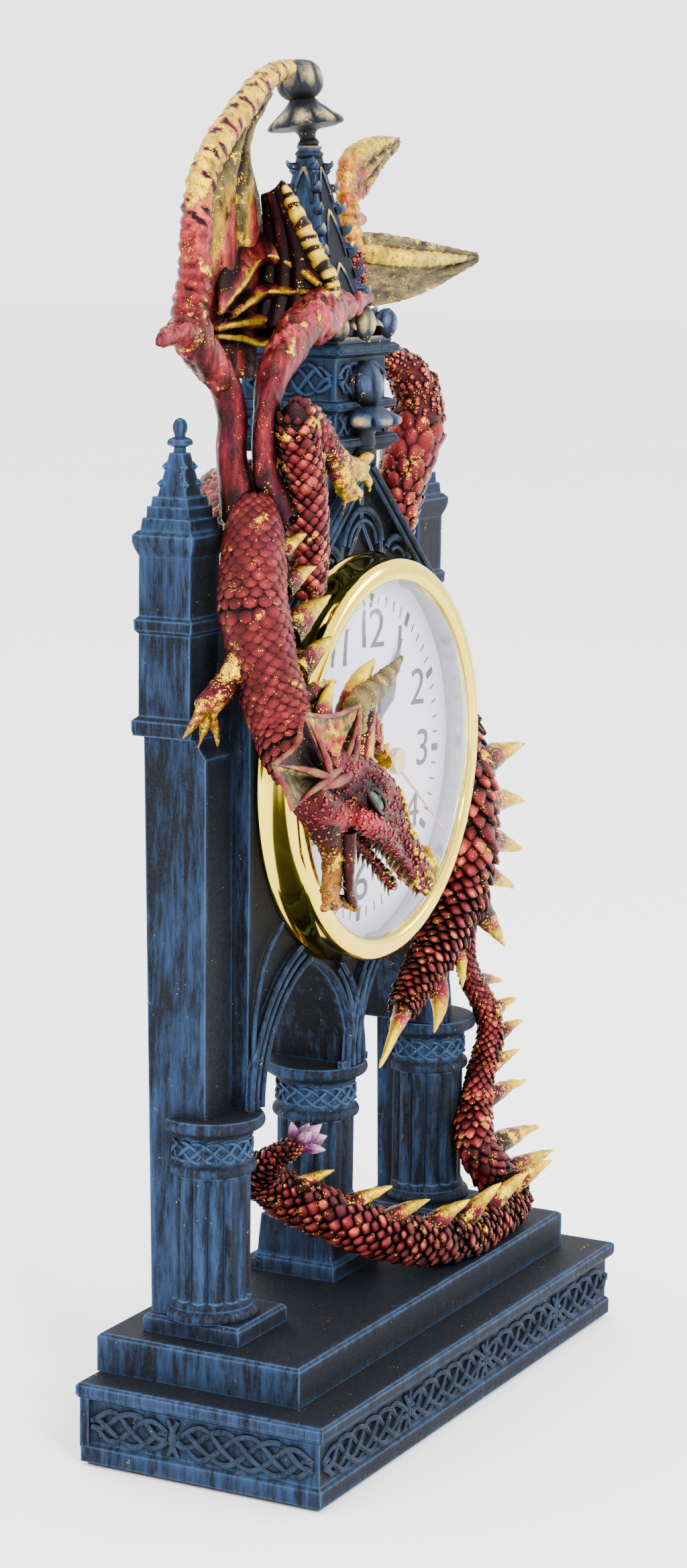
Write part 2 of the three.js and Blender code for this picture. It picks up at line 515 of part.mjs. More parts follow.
const alongX = (geometry) => geometry.rotateY(Math.PI / 2);
const cellEnd = CELL.length / 2;
add(insert, "battery_cell", alongX(turned([[0, -cellEnd], [CELL.radius - 0.5, -cellEnd],
  [CELL.radius, -cellEnd + 0.5], [CELL.radius, cellEnd - 1.3], [CELL.radius - 0.5, cellEnd - 0.9],
  [1.8, cellEnd - 0.9], [1.8, cellEnd], [0, cellEnd]], 18)), CELL_JACKET, [0, CELL.y, CELL.z]);
const coilTurns = Array.from({ length: 22 }, (_, i) => {
  const turn = (i * Math.PI) / 4;
  return [-cellEnd - 0.4 - i * 0.17, CELL.y + 2.4 * Math.cos(turn), CELL.z + 2.4 * Math.sin(turn), 0.3];
});
const contact = joined(solid(tube(coilTurns, { steps: 44, sides: 4 })),
  solid(box(-cellEnd - 4.6, -cellEnd - 3.7, CELL.y - 4, CELL.y + 4, CELL.z - 4.4, floorBack)));
add(insert, "battery_contact", geometryOf(main(contact)), STEEL);

// A spur wheel with straight-sided teeth; one tip stands at the angle given.
function wheel(teeth, size, z0, z1, bore, tip) {
  const pitch = (teeth * size) / 2;
  const rim = Array.from({ length: teeth * 2 }, (_, i) => {
    const radius = i % 2 ? pitch - 0.9 * size : pitch + 0.7 * size;
    const turn = tip + (Math.PI * i) / teeth;
    return new THREE.Vector2(radius * Math.cos(turn), radius * Math.sin(turn));
  });
  const shape = new THREE.Shape(rim);
  if (bore) shape.holes.push(new THREE.Path().absarc(0, 0, bore, 0, 2 * Math.PI, true));
  return solid(new THREE.ExtrudeGeometry(shape, { depth: z1 - z0, bevelEnabled: false,
    curveSegments: 8 }).translate(0, 0, z0));
}
const pipe = (outer, inner, z0, z1, sides = 16) => solid(inner
  ? turned([[inner, z0], [outer, z0], [outer, z1], [inner, z1]], sides)
  : turned([[0, z0], [outer, z0], [outer, z1], [0, z1]], sides));

const pitchOf = (a, b) => (2 * TRAIN.distance) / (a + b);
const motionPitch = pitchOf(TEETH.minutePinion, TEETH.motion);
const hourPitch = pitchOf(TEETH.motionPinion, TEETH.hour);
const minutePitch = pitchOf(TEETH.minute, TEETH.thirdPinion);
const thirdPitch = pitchOf(TEETH.third, TEETH.secondPinion);
const hourBore = TRAIN.minuteTube + RUNNING;
const minuteBore = TRAIN.secondArbor + RUNNING;
add(insert, "hour_wheel", geometryOf(joined(
  wheel(TEETH.hour, hourPitch, -5, -4.2, hourBore, 0),
  pipe(TRAIN.hourTube, hourBore, -5, HANDS.hour + 0.5))), BRASS);
add(insert, "minute_wheel", geometryOf(joined(
  wheel(TEETH.minute, minutePitch, -8, -7.2, minuteBore, Math.PI),
  wheel(TEETH.minutePinion, motionPitch, -7.3, -5.4, minuteBore, 0),
  pipe(TRAIN.minuteTube, minuteBore, -8, HANDS.minute + 0.5))), BRASS);
add(insert, "motion_wheel", geometryOf(joined(
  wheel(TEETH.motion, motionPitch, -6.4, -5.6, 0, Math.PI + Math.PI / TEETH.motion),
  wheel(TEETH.motionPinion, hourPitch, -5.7, -4, 0, Math.PI + Math.PI / TEETH.motionPinion),
  pipe(TRAIN.arbor, 0, -12.7, floorBack - 0.05, 10))), WHITE_PLASTIC, [TRAIN.distance, 0, 0]);
add(insert, "third_wheel", geometryOf(joined(
  wheel(TEETH.third, thirdPitch, -9.6, -8.8, 0, Math.PI / TEETH.third),
  wheel(TEETH.thirdPinion, minutePitch, -8.9, -7, 0, Math.PI / TEETH.thirdPinion),
  pipe(0.45, 0, -10.95, floorBack - 0.05, 10))), WHITE_PLASTIC, [-TRAIN.distance, 0, 0]);

const pillars = [[13, 11], [13, -11], [-13, 11], [-13, -11]].map(([x, y]) =>
  pipe(1.2, 0, -11.2, floorBack, 10).translate([x, y, 0]));
const trainPlate = cut(joined(solid(box(-15, 15, -13, 13, -12.2, -11)), ...pillars),
  pipe(TRAIN.arbor + RUNNING, 0, -14, -10, 12).translate([TRAIN.distance, 0, 0]));
add(insert, "train_plate", geometryOf(trainPlate), WHITE_PLASTIC);
add(insert, "coil_and_board", geometryOf(joined(solid(box(-15, 15, 17, 29, -7, -6.2)),
  solid(alongX(turned([[0, -8], [3.2, -8], [3.2, -7], [2.5, -6.9], [2.5, 6.9], [3.2, 7], [3.2, 8],
    [0, 8]], 14))).translate([0, 23, -9.6]),
  ...[-12, 12].map((x) => pipe(1, 0, -6.4, floorBack, 10).translate([x, 23, 0])))), BOARD);
const knobRim = Array.from({ length: 36 }, (_, i) => {
  const turn = (i * Math.PI) / 18;
  const radius = i % 2 ? 5.6 : 6;
  return [radius * Math.cos(turn), radius * Math.sin(turn)];
});
add(insert, "set_knob", geometryOf(joined(pipe(knobStem, 0, coverBack - 0.4, -12.75, 16),
  solid(new THREE.ExtrudeGeometry(outline(knobRim), { depth: 3, bevelEnabled: false })
    .translate(0, 0, coverBack - 3.3)))), BLACK_PLASTIC, [TRAIN.distance, 0, 0]);

// A flat hand drawn pointing up the dial, with its bore, then turned clockwise.
function handOf(half, thickness, z, degrees, bore) {
  const outlinePoints = [...half, ...half.map(([x, y]) => [-x, y]).reverse()]
    .filter(([x], i, all) => i === 0 || x !== 0 || all[i - 1][0] !== 0);
  const shape = outline(outlinePoints);
  const made = solid(new THREE.ExtrudeGeometry(shape, { depth: thickness, bevelEnabled: false })
    .translate(0, 0, z));
  const hub = pipe(bore + 1.3, 0, z, z + thickness, 18);
  const whole = cut(joined(made, hub), pipe(bore, 0, z - 1, z + 2, 18));
  return whole.rotate([0, 0, -degrees]);
}
const slip = 0.03;
add(insert, "hour_hand", geometryOf(handOf([[0.9, 0], [0.7, 8], [0.9, 11], [3.6, 16], [3.2, 19],
  [0.9, 22], [0.5, 26], [0, 29.5]], 0.4, HANDS.hour, HANDS.hourAt, TRAIN.hourTube + slip)), HAND_GREY);
add(insert, "minute_hand", geometryOf(handOf([[0.7, 0], [0.6, 14], [0.7, 17], [2.4, 22.5],
  [0.8, 27.5], [0.4, 31], [0, 34]], 0.35, HANDS.minute, HANDS.minuteAt, TRAIN.minuteTube + slip)),
  HAND_GREY);
const sweep = joined(solid(new THREE.ExtrudeGeometry(outline([[0.45, -13], [0.35, 0], [0.15, 35.5],
  [-0.15, 35.5], [-0.35, 0], [-0.45, -13]]), { depth: 0.25, bevelEnabled: false })
    .translate(0, 0, HANDS.second)),
pipe(1.7, 0, HANDS.second, HANDS.second + 0.25, 14).translate([0, -12.5, 0]),
pipe(2.9, 0, HANDS.second, HANDS.second + 1.7, 20)).rotate([0, 0, -HANDS.secondAt]);
add(insert, "second_hand", geometryOf(sweep), HAND_RED);
add(insert, "second_arbor", geometryOf(joined(
  wheel(TEETH.secondPinion, thirdPitch, -9.8, -8.6, 0, Math.PI),
  pipe(TRAIN.secondArbor, 0, -10.95, HANDS.second, 10))), STEEL);

// DRAGON
const housing = solid(turned([[0, -22], [46.2, -22], [46.2, -3], [45.4, 6.1], [39.7, 6.3], [35.3, 7.4],
  [27.4, 8.5], [14, 9.7], [0, 10.1]], 48)).rotate([90, 0, 0]).translate([0, 0, DIAL_HEIGHT]);
const taken = [...masonry, housing].map((body) => ({ body, bounds: body.boundingBox() }));
const meets = (a, b) => [0, 1, 2].every((k) => a.min[k] < b.max[k] && b.min[k] < a.max[k]);
// Fits a part of the dragon round the stone, the insert and the parts already there.
function fit(name, body, material) {
  const bounds = body.boundingBox();
  const whole = main(cut(body, ...taken.filter((item) => meets(item.bounds, bounds))
    .map((item) => item.body)));
  taken.push({ body: whole, bounds });
  return add(group, name, geometryOf(whole), material);
}
// The dragon is drawn with the dial's middle at this height and climbs from the plinth's step: what lies
// over the capitals moves with the dial, and the tail between them stretches.
const DRAWN = { dial: 146, step: 27, capitals: 75.5 };
const lift = (z) => z + (DIAL_HEIGHT - DRAWN.dial)
  * THREE.MathUtils.clamp((z - DRAWN.step) / (DRAWN.capitals - DRAWN.step), 0, 1);
const aloft = ([x, y, z, ...rest]) => [x, y, lift(z), ...rest];
const part = (stations, options) => solid(tube(stations.map(aloft), options));
const horn = (root, tip, ...rest) => solid(spike(aloft(root), aloft(tip), ...rest));
const skin = (rows, thickness) => solid(sheet(rows.map((row) => row.map(aloft)), thickness));

fit("dragon_neck", joined(part([[-47, 4, 206, 5], [-50, 2.5, 200, 6.6], [-53, 1, 193, 7.2],
  [-55, 0, 186, 7.4], [-54, -1, 180, 7.4], [-53.5, -2, 173, 7.3], [-53, -4, 167, 7.2],
  [-53, -6.5, 161, 7], [-55, -9.5, 156, 6.6], [-55, -12, 152, 6]], { steps: 14, sides: 10 }),
horn([-49, -3, 196], [-43, -6, 199], 2), horn([-49, -4, 189], [-41, -7, 191], 2.4),
horn([-48.5, -5, 181], [-36.5, -7, 185], 3), horn([-48, -7, 172], [-38, -10, 176], 2.6)),
SCALES);
fit("dragon_head", joined(part([[-56, -11.5, 153, 5.4], [-49, -13.5, 151, 6.8],
  [-42, -14.5, 148, 7.4], [-34, -15.2, 144.5, 7], [-26, -15.6, 138.5, 5.4], [-18, -16.2, 131, 4.4],
  [-10.5, -17, 123.5, 3.9], [-5.5, -18, 117.5, 2.2]], { steps: 14, sides: 10 }),
horn([-9, -17, 122], [-7.5, -18, 113.5], 1.6), horn([-46, -13, 155], [-57, -16, 162], 2.6),
horn([-51, -12, 155], [-64, -14, 154], 3.4), horn([-50, -12, 147], [-63, -13, 142], 3.2)),
SCALES);
fit("dragon_jaw", part([[-47, -13, 143, 4.4], [-47.5, -13.6, 136, 3.8], [-47.5, -14.2, 129, 3],
  [-46.5, -15, 123, 2.4], [-44, -15.6, 121, 1.2]], { steps: 10 }), SCALES);
fit("dragon_horn_near", horn([-36, -15, 150], [-13, -14.5, 171], 3.2, [2, 0, -2.5], 9), BONE);
fit("dragon_horn_far", horn([-40, -12, 152], [-24, -12, 172.5], 2.8, [1, 0, -2], 9), SCALES);
for (const [name, y] of [["near", -20.4], ["far", -9.8]])
  fit(`dragon_eye_${name}`, solid(new THREE.SphereGeometry(1.9, 10, 8).scale(1.3, 1, 0.8)
    .translate(-29, y, lift(142.5))), EYE);

const wristA = [-61.5, 12, 242];
fit("dragon_wing_left", joined(
  part([[-47.5, 7, 203, 4], [-48.5, 8, 210, 3.6], [-48.4, 9, 217, 3.3], [-47.8, 9, 224, 3.2],
    [-50.5, 9.5, 230.5, 3.4], [-56, 10.8, 236, 3.8], [...wristA, 4.3]], { steps: 10 }),
  part([[...wristA, 4.2], [-60, 12.5, 247, 3.6], [-58, 12.5, 254, 3.3], [-57, 13, 262, 3.1],
    [-52, 14, 274, 2.9], [-37, 14.5, 286.5, 2.7], [-21, 16, 294.5, 2.4], [-8, 18.3, 297.5, 1.9]],
  { steps: 14 }),
  horn([-60, 12, 241.5], [-77, 11, 240], 4.4),
  skin([
    [[-57, 12, 239], [-48, 13.5, 234], [-38, 14, 231.5], [-30, 13.5, 231]],
    [[-59, 12.5, 250], [-46, 17, 246], [-33, 16, 243], [-21, 18.5, 242]],
    [[-57, 13, 262], [-44, 17.5, 258], [-31, 16.5, 256.5], [-17, 19.5, 256]],
    [[-52, 14, 274], [-42, 17, 271.5], [-32, 16.5, 270], [-22, 17.5, 268]],
    [[-37, 14.5, 286.5], [-35, 15.5, 284], [-33, 15.5, 282], [-30, 15.5, 280]],
    [[-22, 16, 294], [-22, 16, 292.6], [-21.5, 16, 291.4], [-21, 16, 290]]], 1.6)), WING);
const wristB = [-18, 3.4, 246.5];
fit("dragon_wing_inner", joined(
  part([[-42, -0.5, 203, 3.4], [-46, 1.5, 210, 2.9], [-45.2, 3, 217, 2.7], [-44.4, 3, 224, 2.8],
    [-42.5, 3.2, 230.4, 3.2], [-39, 3.4, 235, 3.7], [-31, 3.6, 240.5, 4.2], [...wristB, 4.4]],
  { steps: 10 }),
  part([[...wristB, 3.8], [-14.5, 4, 251, 3], [-18, 5, 256, 2.4], [-24, 6.4, 264, 2.2],
    [-32, 8.2, 276, 1.6]], { steps: 8 }),
  horn([-20, 3.6, 245.6], [4.6, 3, 247.8], 4.8, [0, 0, -0.6]),
  skin([
    [[-20, 5, 243], [-22, 9, 242], [-23, 13, 241.5], [-24, 16.5, 241]],
    [[-17, 5, 252], [-19.5, 9, 251], [-20, 13, 250.5], [-21, 17, 250]],
    [[-22, 6.2, 262], [-21.5, 9.5, 260.5], [-21, 13, 259.5], [-20.5, 17, 259]],
    [[-30, 8, 273], [-28.5, 10, 271.5], [-27, 12.5, 270.5], [-25.5, 15, 270]]], 1.4)), WING);
const knuckle = [16.5, 15.5, 257.5];
fit("dragon_wing_right", joined(
  part([[24, 9, 191, 4.4], [26.5, 7, 204, 5], [30, 7, 211, 5.6], [33.5, 7, 217.4, 6.3],
    [35.5, 7.4, 224, 5.8], [32, 8.8, 230, 4.6], [25, 12.5, 234.5, 3.4], [20.5, 15.5, 241, 3.3],
    [18, 16, 250, 3.2], [...knuckle, 3.3]], { steps: 16 }),
  part([[...knuckle, 3], [30, 10.3, 255.8, 2.3], [45, 7.3, 255.4, 1.7], [60, 4.2, 255.8, 0.3]],
    { steps: 6 }),
  part([[...knuckle, 3], [15.5, 15.5, 266, 2.5], [13.8, 15.5, 272, 2.3], [15, 15.2, 277, 2.2],
    [24, 15.1, 280.6, 1.9], [39.5, 15.3, 282.6, 0.3]], { steps: 9 }),
  horn([15, 15.5, 264.5], [21.5, 13.8, 264.3], 2.6, [1.5, 0, 0]),
  skin([
    [[15, 15, 262], [16.5, 14.5, 257], [18, 13.5, 251], [20, 12.5, 245]],
    [[27, 11, 261.2], [29, 10.5, 256.5], [30, 10, 251], [30, 9.8, 246]],
    [[41, 8.5, 259.5], [43, 8, 256], [44, 7.6, 252.5], [44, 7.6, 249]],
    [[59, 4.5, 256.6], [59.3, 4.4, 256], [59.6, 4.3, 255.4], [60, 4.2, 254.8]]], 1.5),
  skin([
    [[12, 15, 277.5], [14, 14.5, 273], [16, 14, 268]],
    [[22, 15, 280.6], [22, 14.6, 275], [21, 14.2, 269.5]],
    [[31, 15, 281.8], [30, 14.8, 278.5], [29, 14.6, 275.5]],
    [[39.5, 15.4, 282.8], [39.5, 15.3, 281.9], [39.2, 15.2, 281]]], 1.4)), WING);

fit("dragon_arm", joined(
  part([[-34, -1.5, 187, 4.2], [-36, -2.5, 197, 4.6], [-39, -3, 212, 4.8], [-42.5, -3.2, 224, 4],
    [-37, -4.6, 220.5, 3.6], [-29, -5, 214.5, 3.2], [-21, -4.4, 212, 2.8], [-15, -3.6, 211.5, 2.4]],
  { steps: 14 }),
  horn([-17, -3.6, 212], [-5, -1.6, 214], 1.7, [0, -1, 1.5]),
  horn([-17, -4, 211], [-8, -3.2, 206], 1.7, [0, -1, 1.5]),
  horn([-19, -4.4, 210.5], [-17, -3, 203], 1.7, [0, -1.5, 0])), SCALES);
fit("dragon_hand_left", joined(
  part([[-56, 0, 178, 3.4], [-59, 2, 172, 3.2], [-61.5, 5, 167, 2.8], [-63, 7.5, 164, 2.6]],
    { steps: 8 }),
  ...[[-71, 8, 158.5], [-66, 6.5, 156.5], [-60.5, 5, 156]].map((tip) =>
    horn([-62.5, 7, 165], tip, 1.7, [-1, -2, 1]))), CLAW);

fit("dragon_body", part([[-44, 7, 203, 5], [-36, 16, 202, 5.8], [-25, 25, 204, 5.8],
  [-10, 28.2, 205, 6], [10, 28.6, 205, 6], [27, 29, 202, 6.2], [42, 29.4, 195, 6.4],
  [55, 30, 182, 6.6], [63, 26.5, 169, 6.4], [65, 18.5, 157, 6.2], [62, 11.5, 148, 6.2],
  [55, 5, 141, 6.6], [50.5, 2, 134, 7.2]], { steps: 26, sides: 10 }), SCALES);
const hindSpikes = [[53, -1, 137, 68, -6, 143], [56, -1, 128, 69, -6, 129], [56, -1, 119, 69, -6, 115],
  [54, -1, 113, 66, -6, 108.5], [49, -4, 105, 55, -8, 97]];
fit("dragon_hind_leg", joined(
  part([[50.5, 2, 136, 7], [50, 1, 131, 7.2], [49.8, 0.3, 124, 7.1], [49, -0.2, 115, 6.9],
    [45, -0.8, 108, 6.5], [38.5, -1.8, 102.5, 6], [30, -2.6, 97, 5.3], [20, -2.6, 91.5, 4.4],
    [13, -2.2, 86.5, 3.5]], { steps: 15, sides: 10 }),
  horn([14, -2.5, 87], [0, -3.4, 75.5], 2.2, [-1, -1.2, 1.6]),
  horn([24, -4, 92], [21.5, -6.5, 80.5], 2.6, [0.6, -1.6, 1]),
  ...hindSpikes.map(([x, y, z, tx, ty, tz]) => horn([x, y, z], [tx, ty, tz], 2.6))), SCALES);
const tailPath = [[50, 0.8, 112, 3.4], [52.5, 1, 101, 3], [53.5, 1.4, 92, 2.8], [56.5, 0.8, 84, 2.9],
  [60, -1.5, 77, 3.2], [60.8, -2.6, 70.5, 3.4], [57.8, -1.8, 62, 3.5], [56.5, -1.4, 55.5, 4],
  [52, -2.6, 50, 4.4], [51, -4.2, 44.5, 4.7], [54.5, -6.6, 38.5, 5], [57, -9.5, 32.9, 5.2],
  [49, -13, 32.2, 5.1], [36, -14.6, 32.2, 5.1], [20, -14.6, 32.4, 5.2], [7, -11.2, 34.2, 5.3],
  [-4, -6, 38, 5.3], [-12, 0, 43, 5.2], [-15.5, 8, 49, 5], [-17, 13, 54.5, 4.4],
  [-19.5, 9, 59.5, 3.6], [-20, 4, 63, 2.8], [-18.5, 1, 65.5, 2.2]];
const tailSpikes = [[56.5, 0, 84, 65, -3, 82.5, 1.6], [61, -3, 75, 66.5, -6, 77, 1.5],
  [62, -4, 70, 67.5, -7, 72.5, 1.5], [58.5, -3, 62, 66.5, -6, 65.5, 1.7],
  [58, -3, 55, 70.5, -6, 57, 2.4], [56, -6, 44, 75, -11, 46, 3], [58, -9, 37, 75.5, -12.5, 39.5, 3],
  [50, -14.5, 36, 45, -17, 45, 2.4], [36, -15, 36.5, 30, -17.5, 43.5, 2.2],
  [20, -15, 37, 13, -17, 42.5, 2.2], [8, -12, 38.5, -2, -14.5, 43, 2.4],
  [-5, -7, 42, -15, -10, 46, 2.4]];
fit("dragon_tail", joined(part(tailPath, { steps: 44, sides: 8 }),
  ...tailSpikes.map(([x, y, z, tx, ty, tz, r]) => horn([x, y, z], [tx, ty, tz], r))),
SCALES);
fit("dragon_tail_gem", horn([-19, 1.6, 65], [-11.5, -2, 67.5], 2.4, [0, 0, 0.6], 9), GEM);

export default group;
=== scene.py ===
import logging
import math
import random
from collections.abc import Callable, Iterator
from contextlib import contextmanager
from dataclasses import dataclass, field
from enum import Enum

import bpy
import numpy as np
from mathutils import Matrix, Vector


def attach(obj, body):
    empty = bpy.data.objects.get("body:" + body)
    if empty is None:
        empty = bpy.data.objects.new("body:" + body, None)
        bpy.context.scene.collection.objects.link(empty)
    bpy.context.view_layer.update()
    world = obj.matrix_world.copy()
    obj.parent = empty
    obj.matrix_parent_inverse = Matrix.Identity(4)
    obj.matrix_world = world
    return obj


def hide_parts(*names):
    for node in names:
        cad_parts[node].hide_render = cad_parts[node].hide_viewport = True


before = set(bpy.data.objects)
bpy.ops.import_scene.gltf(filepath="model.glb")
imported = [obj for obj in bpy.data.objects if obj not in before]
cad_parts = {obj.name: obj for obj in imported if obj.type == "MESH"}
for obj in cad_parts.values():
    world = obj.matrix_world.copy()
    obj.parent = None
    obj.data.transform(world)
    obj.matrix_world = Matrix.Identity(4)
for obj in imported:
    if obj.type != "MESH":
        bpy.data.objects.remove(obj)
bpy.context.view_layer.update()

MM = 0.001
DIAL_HEIGHT = 146.0
Point = tuple[float, float, float]
Colour = tuple[float, float, float]
Piece = bpy.types.Object
Socket = bpy.types.NodeSocket
GOLD: Colour = (0.8, 0.49, 0.002)

log = logging.getLogger("dragon_clock")


class Body(Enum):
    """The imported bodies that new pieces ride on."""

    CASE = "case"
    SECOND = "second"


# Finishes


class Shade:
    """A node tree under way for one finish."""

    def __init__(self, name: str) -> None:
        """Starts a material.

        Args:
            name: the material's name.
        """
        self.material = bpy.data.materials.new(name)
        self.material.use_nodes = True
        self.tree = self.material.node_tree
        self.shader = self.tree.nodes["Principled BSDF"]

    def feed(self, socket: Socket, value: object) -> None:
        """Links a socket into another, or sets its constant.

        Args:
            socket: the input to feed.
            value: a node's output, a colour or a number.
        """
        if isinstance(value, Socket):
            self.tree.links.new(value, socket)
        elif socket.type == "RGBA":
            socket.default_value = (*value, 1)
        else:
            socket.default_value = value

    def node(self, kind: str, inputs: dict | None = None, **settings: object) -> bpy.types.Node:
        """Adds a node.

        Args:
            kind: the node's type without its ShaderNode prefix.
            inputs: sockets to feed, by name or number.
            **settings: the node's own properties.

        Returns:
            The node.
        """
        made = self.tree.nodes.new("ShaderNode" + kind)
        for key, value in settings.items():
            setattr(made, key, value)
        for key, value in (inputs or {}).items():
            self.feed(made.inputs[key], value)
        return made

    def place(self, stretch: Point = (1, 1, 1)) -> Socket:
        """Object coordinates, stretched along the axes."""
        spot = self.node("TexCoord").outputs["Object"]
        return self.node("Mapping", {"Vector": spot, "Scale": stretch}).outputs["Vector"]

    def noise(self, scale: float, detail: float, rough: float = 0.6,
              stretch: Point = (1, 1, 1)) -> Socket:
        """Cloudy noise from 0 to 1, its scale per metre."""
        return self.node("TexNoise", {"Vector": self.place(stretch), "Scale": scale,
                                      "Detail": detail, "Roughness": rough}).outputs["Fac"]

    def reckon(self, operation: str, a: object, b: object) -> Socket:
        """One arithmetic step on two values."""
        return self.node("Math", {0: a, 1: b}, operation=operation).outputs[0]

    def plus(self, a: object, b: object) -> Socket:
        """One value added to another."""
        return self.reckon("ADD", a, b)

    def minus(self, a: object, b: object) -> Socket:
        """One value taken from another."""
        return self.reckon("SUBTRACT", a, b)

    def times(self, a: object, b: object) -> Socket:
        """One value times another."""
        return self.reckon("MULTIPLY", a, b)

    def window(self, value: object, low: float, high: float) -> Socket:
        """Stretches low to high over 0 to 1 and clamps the rest."""
        return self.node("MapRange", {"Value": value, "From Min": low, "From Max": high}).outputs["Result"]

    def mix(self, factor: object, a: object, b: object) -> Socket:
        """One colour into another by a factor."""
        return self.node("Mix", {0: factor, 6: a, 7: b}, data_type="RGBA").outputs[2]

    def ramp(self, factor: object, stops: tuple) -> Socket:
        """A row of colours along a value.

        Args:
            factor: the value.
            stops: positions from 0 to 1, each with its colour.

        Returns:
            The colour.
        """
        made = self.node("ValToRGB", {"Fac": factor})
        steps = made.color_ramp.elements
        steps.remove(steps[1])
        steps[0].position, steps[0].color = stops[0][0], (*stops[0][1], 1)
        for position, colour in stops[1:]:
            steps.new(position).color = (*colour, 1)
        return made.outputs["Color"]

    def edges(self, radius: float) -> Socket:
        """Finds where the surface turns a corner.

        Args:
            radius: how near the corner is, in metres.

        Returns:
            0 on the flat and 1 along an edge.
        """
        soft = self.node("Bevel", {"Radius": radius}, samples=4).outputs["Normal"]
        hard = self.node("NewGeometry").outputs["Normal"]
        dot = self.node("VectorMath", {0: soft, 1: hard}, operation="DOT_PRODUCT").outputs["Value"]
        return self.window(dot, 0.99, 0.9)

    def open(self, distance: float) -> Socket:
        """How open the surface is: 0 deep in a crevice and 1 out in the clear."""
        return self.node("AmbientOcclusion", {"Distance": distance}, samples=4).outputs["AO"]

    def flakes(self, scale: float, share: float, size: float = 0.6) -> Socket:
        """Scattered flakes, thick in some patches and rare in others.

        Args:
            scale: how many flakes there is room for, per metre.
            share: how much of that room they fill.
            size: how far a flake fills its own cell.

        Returns:
            1 on a flake and 0 beside it.
        """
        cells = self.node("TexVoronoi", {"Vector": self.place(), "Scale": scale})
        pick = self.node("SeparateColor", {"Color": cells.outputs["Color"]}).outputs["Red"]
        drift = self.times(self.minus(self.noise(260, 4, 0.75), 0.5), 1.5)
        chosen = self.reckon("GREATER_THAN", self.plus(pick, drift), 1.08 - share)
        return self.times(chosen, self.reckon("LESS_THAN", cells.outputs["Distance"], size))

    def dress(self, colour: object, roughness: object, metallic: object = 0.0,
              relief: object = None, depth: float = 0.0001, **levels: float) -> bpy.types.Material:
        """Feeds the shader and gives the material.

        Args:
            colour: the base colour.
            roughness: the roughness.
            metallic: the metallic level.
            relief: a height for the bump, or None.
            depth: how deep the bump is, in metres.
            **levels: further shader sockets, with _ for each space in the name.

        Returns:
            The material.
        """
        self.feed(self.shader.inputs["Base Color"], colour)
        self.feed(self.shader.inputs["Roughness"], roughness)
        self.feed(self.shader.inputs["Metallic"], metallic)
        if relief is not None:
            bump = self.node("Bump", {"Height": relief, "Distance": depth, "Strength": 1.0})
            self.feed(self.shader.inputs["Normal"], bump.outputs["Normal"])
        for key, value in levels.items():
            self.shader.inputs[key.replace("_", " ")].default_value = value
        return self.material


@dataclass(frozen=True)
class Finish:
    """What every finish has: its own name and the record's slot that it stands for."""

    name: str
    slot: str

    def build(self) -> bpy.types.Material:
        """Makes the material; each kind of finish has its own."""
        raise NotImplementedError

    def material(self) -> bpy.types.Material:
        """The finish's material, made the first time it is asked for."""
        return bpy.data.materials.get(self.name) or self.build()


@dataclass(frozen=True)
class Stone(Finish):
    """Cast stone, near black, dry brushed with blue where the brush caught it, plus painted light by facing.
    """

    dark: Colour = (0.003, 0.0035, 0.0052)
    brushed: Colour = (0.017, 0.037, 0.085)
    lit: Colour = (0.036, 0.078, 0.17)
    cover: float = -0.01
    grain: Point = (1, 1, 0.13)
    flecks: float = -0.1

    def build(self) -> bpy.types.Material:
        """A dark ground, streaky blue with painted light that favours the left faces, lit edges and gold
        specks.

        Returns:
            The material.
        """
        shade = Shade(self.name)
        patches = shade.noise(30, 5, 0.65)
        streaks = shade.noise(480, 7, 0.78, self.grain)
        pits = shade.noise(1900, 3, 0.6)
        # Painted light and shade by facing: faces turned to the left get more blue, level tops a little
        # less.
        facing = shade.node("SeparateXYZ", {"Vector": shade.node("NewGeometry").outputs["Normal"]})
        left = shade.window(facing.outputs["X"], -0.2, -0.9)
        level = shade.window(facing.outputs["Z"], 0.4, 0.9)
        brush_and_facing_light = shade.minus(shade.plus(shade.times(left, 0.23), self.cover), shade.times(level, 0.03))
        caught = shade.plus(shade.times(patches, 0.5), shade.times(streaks, 1.1))
        brush = shade.window(shade.plus(caught, brush_and_facing_light), 0.92, 1.14)
        clear = shade.open(0.004)
        brush = shade.times(brush, shade.window(clear, 0.45, 0.9))
        near = shade.times(shade.edges(0.0007), shade.window(streaks, 0.3, 0.5))
        wide = shade.times(shade.edges(0.003), shade.window(caught, 0.7, 1.0))
        edge = shade.reckon("MAXIMUM", near, shade.times(wide, 0.5))
        edge = shade.times(edge, shade.window(clear, 0.4, 0.75))
        ground = shade.mix(shade.window(pits, 0.35, 0.7), self.dark, tuple(3 * c for c in self.dark))
        colour = shade.mix(shade.times(brush, 0.85), ground, self.brushed)
        colour = shade.mix(edge, colour, self.lit)
        flecks = shade.flakes(4600, self.flecks, 0.45)
        relief = shade.plus(shade.times(streaks, 0.8), shade.times(pits, 0.4))
        return shade.dress(shade.mix(flecks, colour, GOLD), 0.62, flecks, relief, 0.00026,
                           Specular_IOR_Level=0.07)


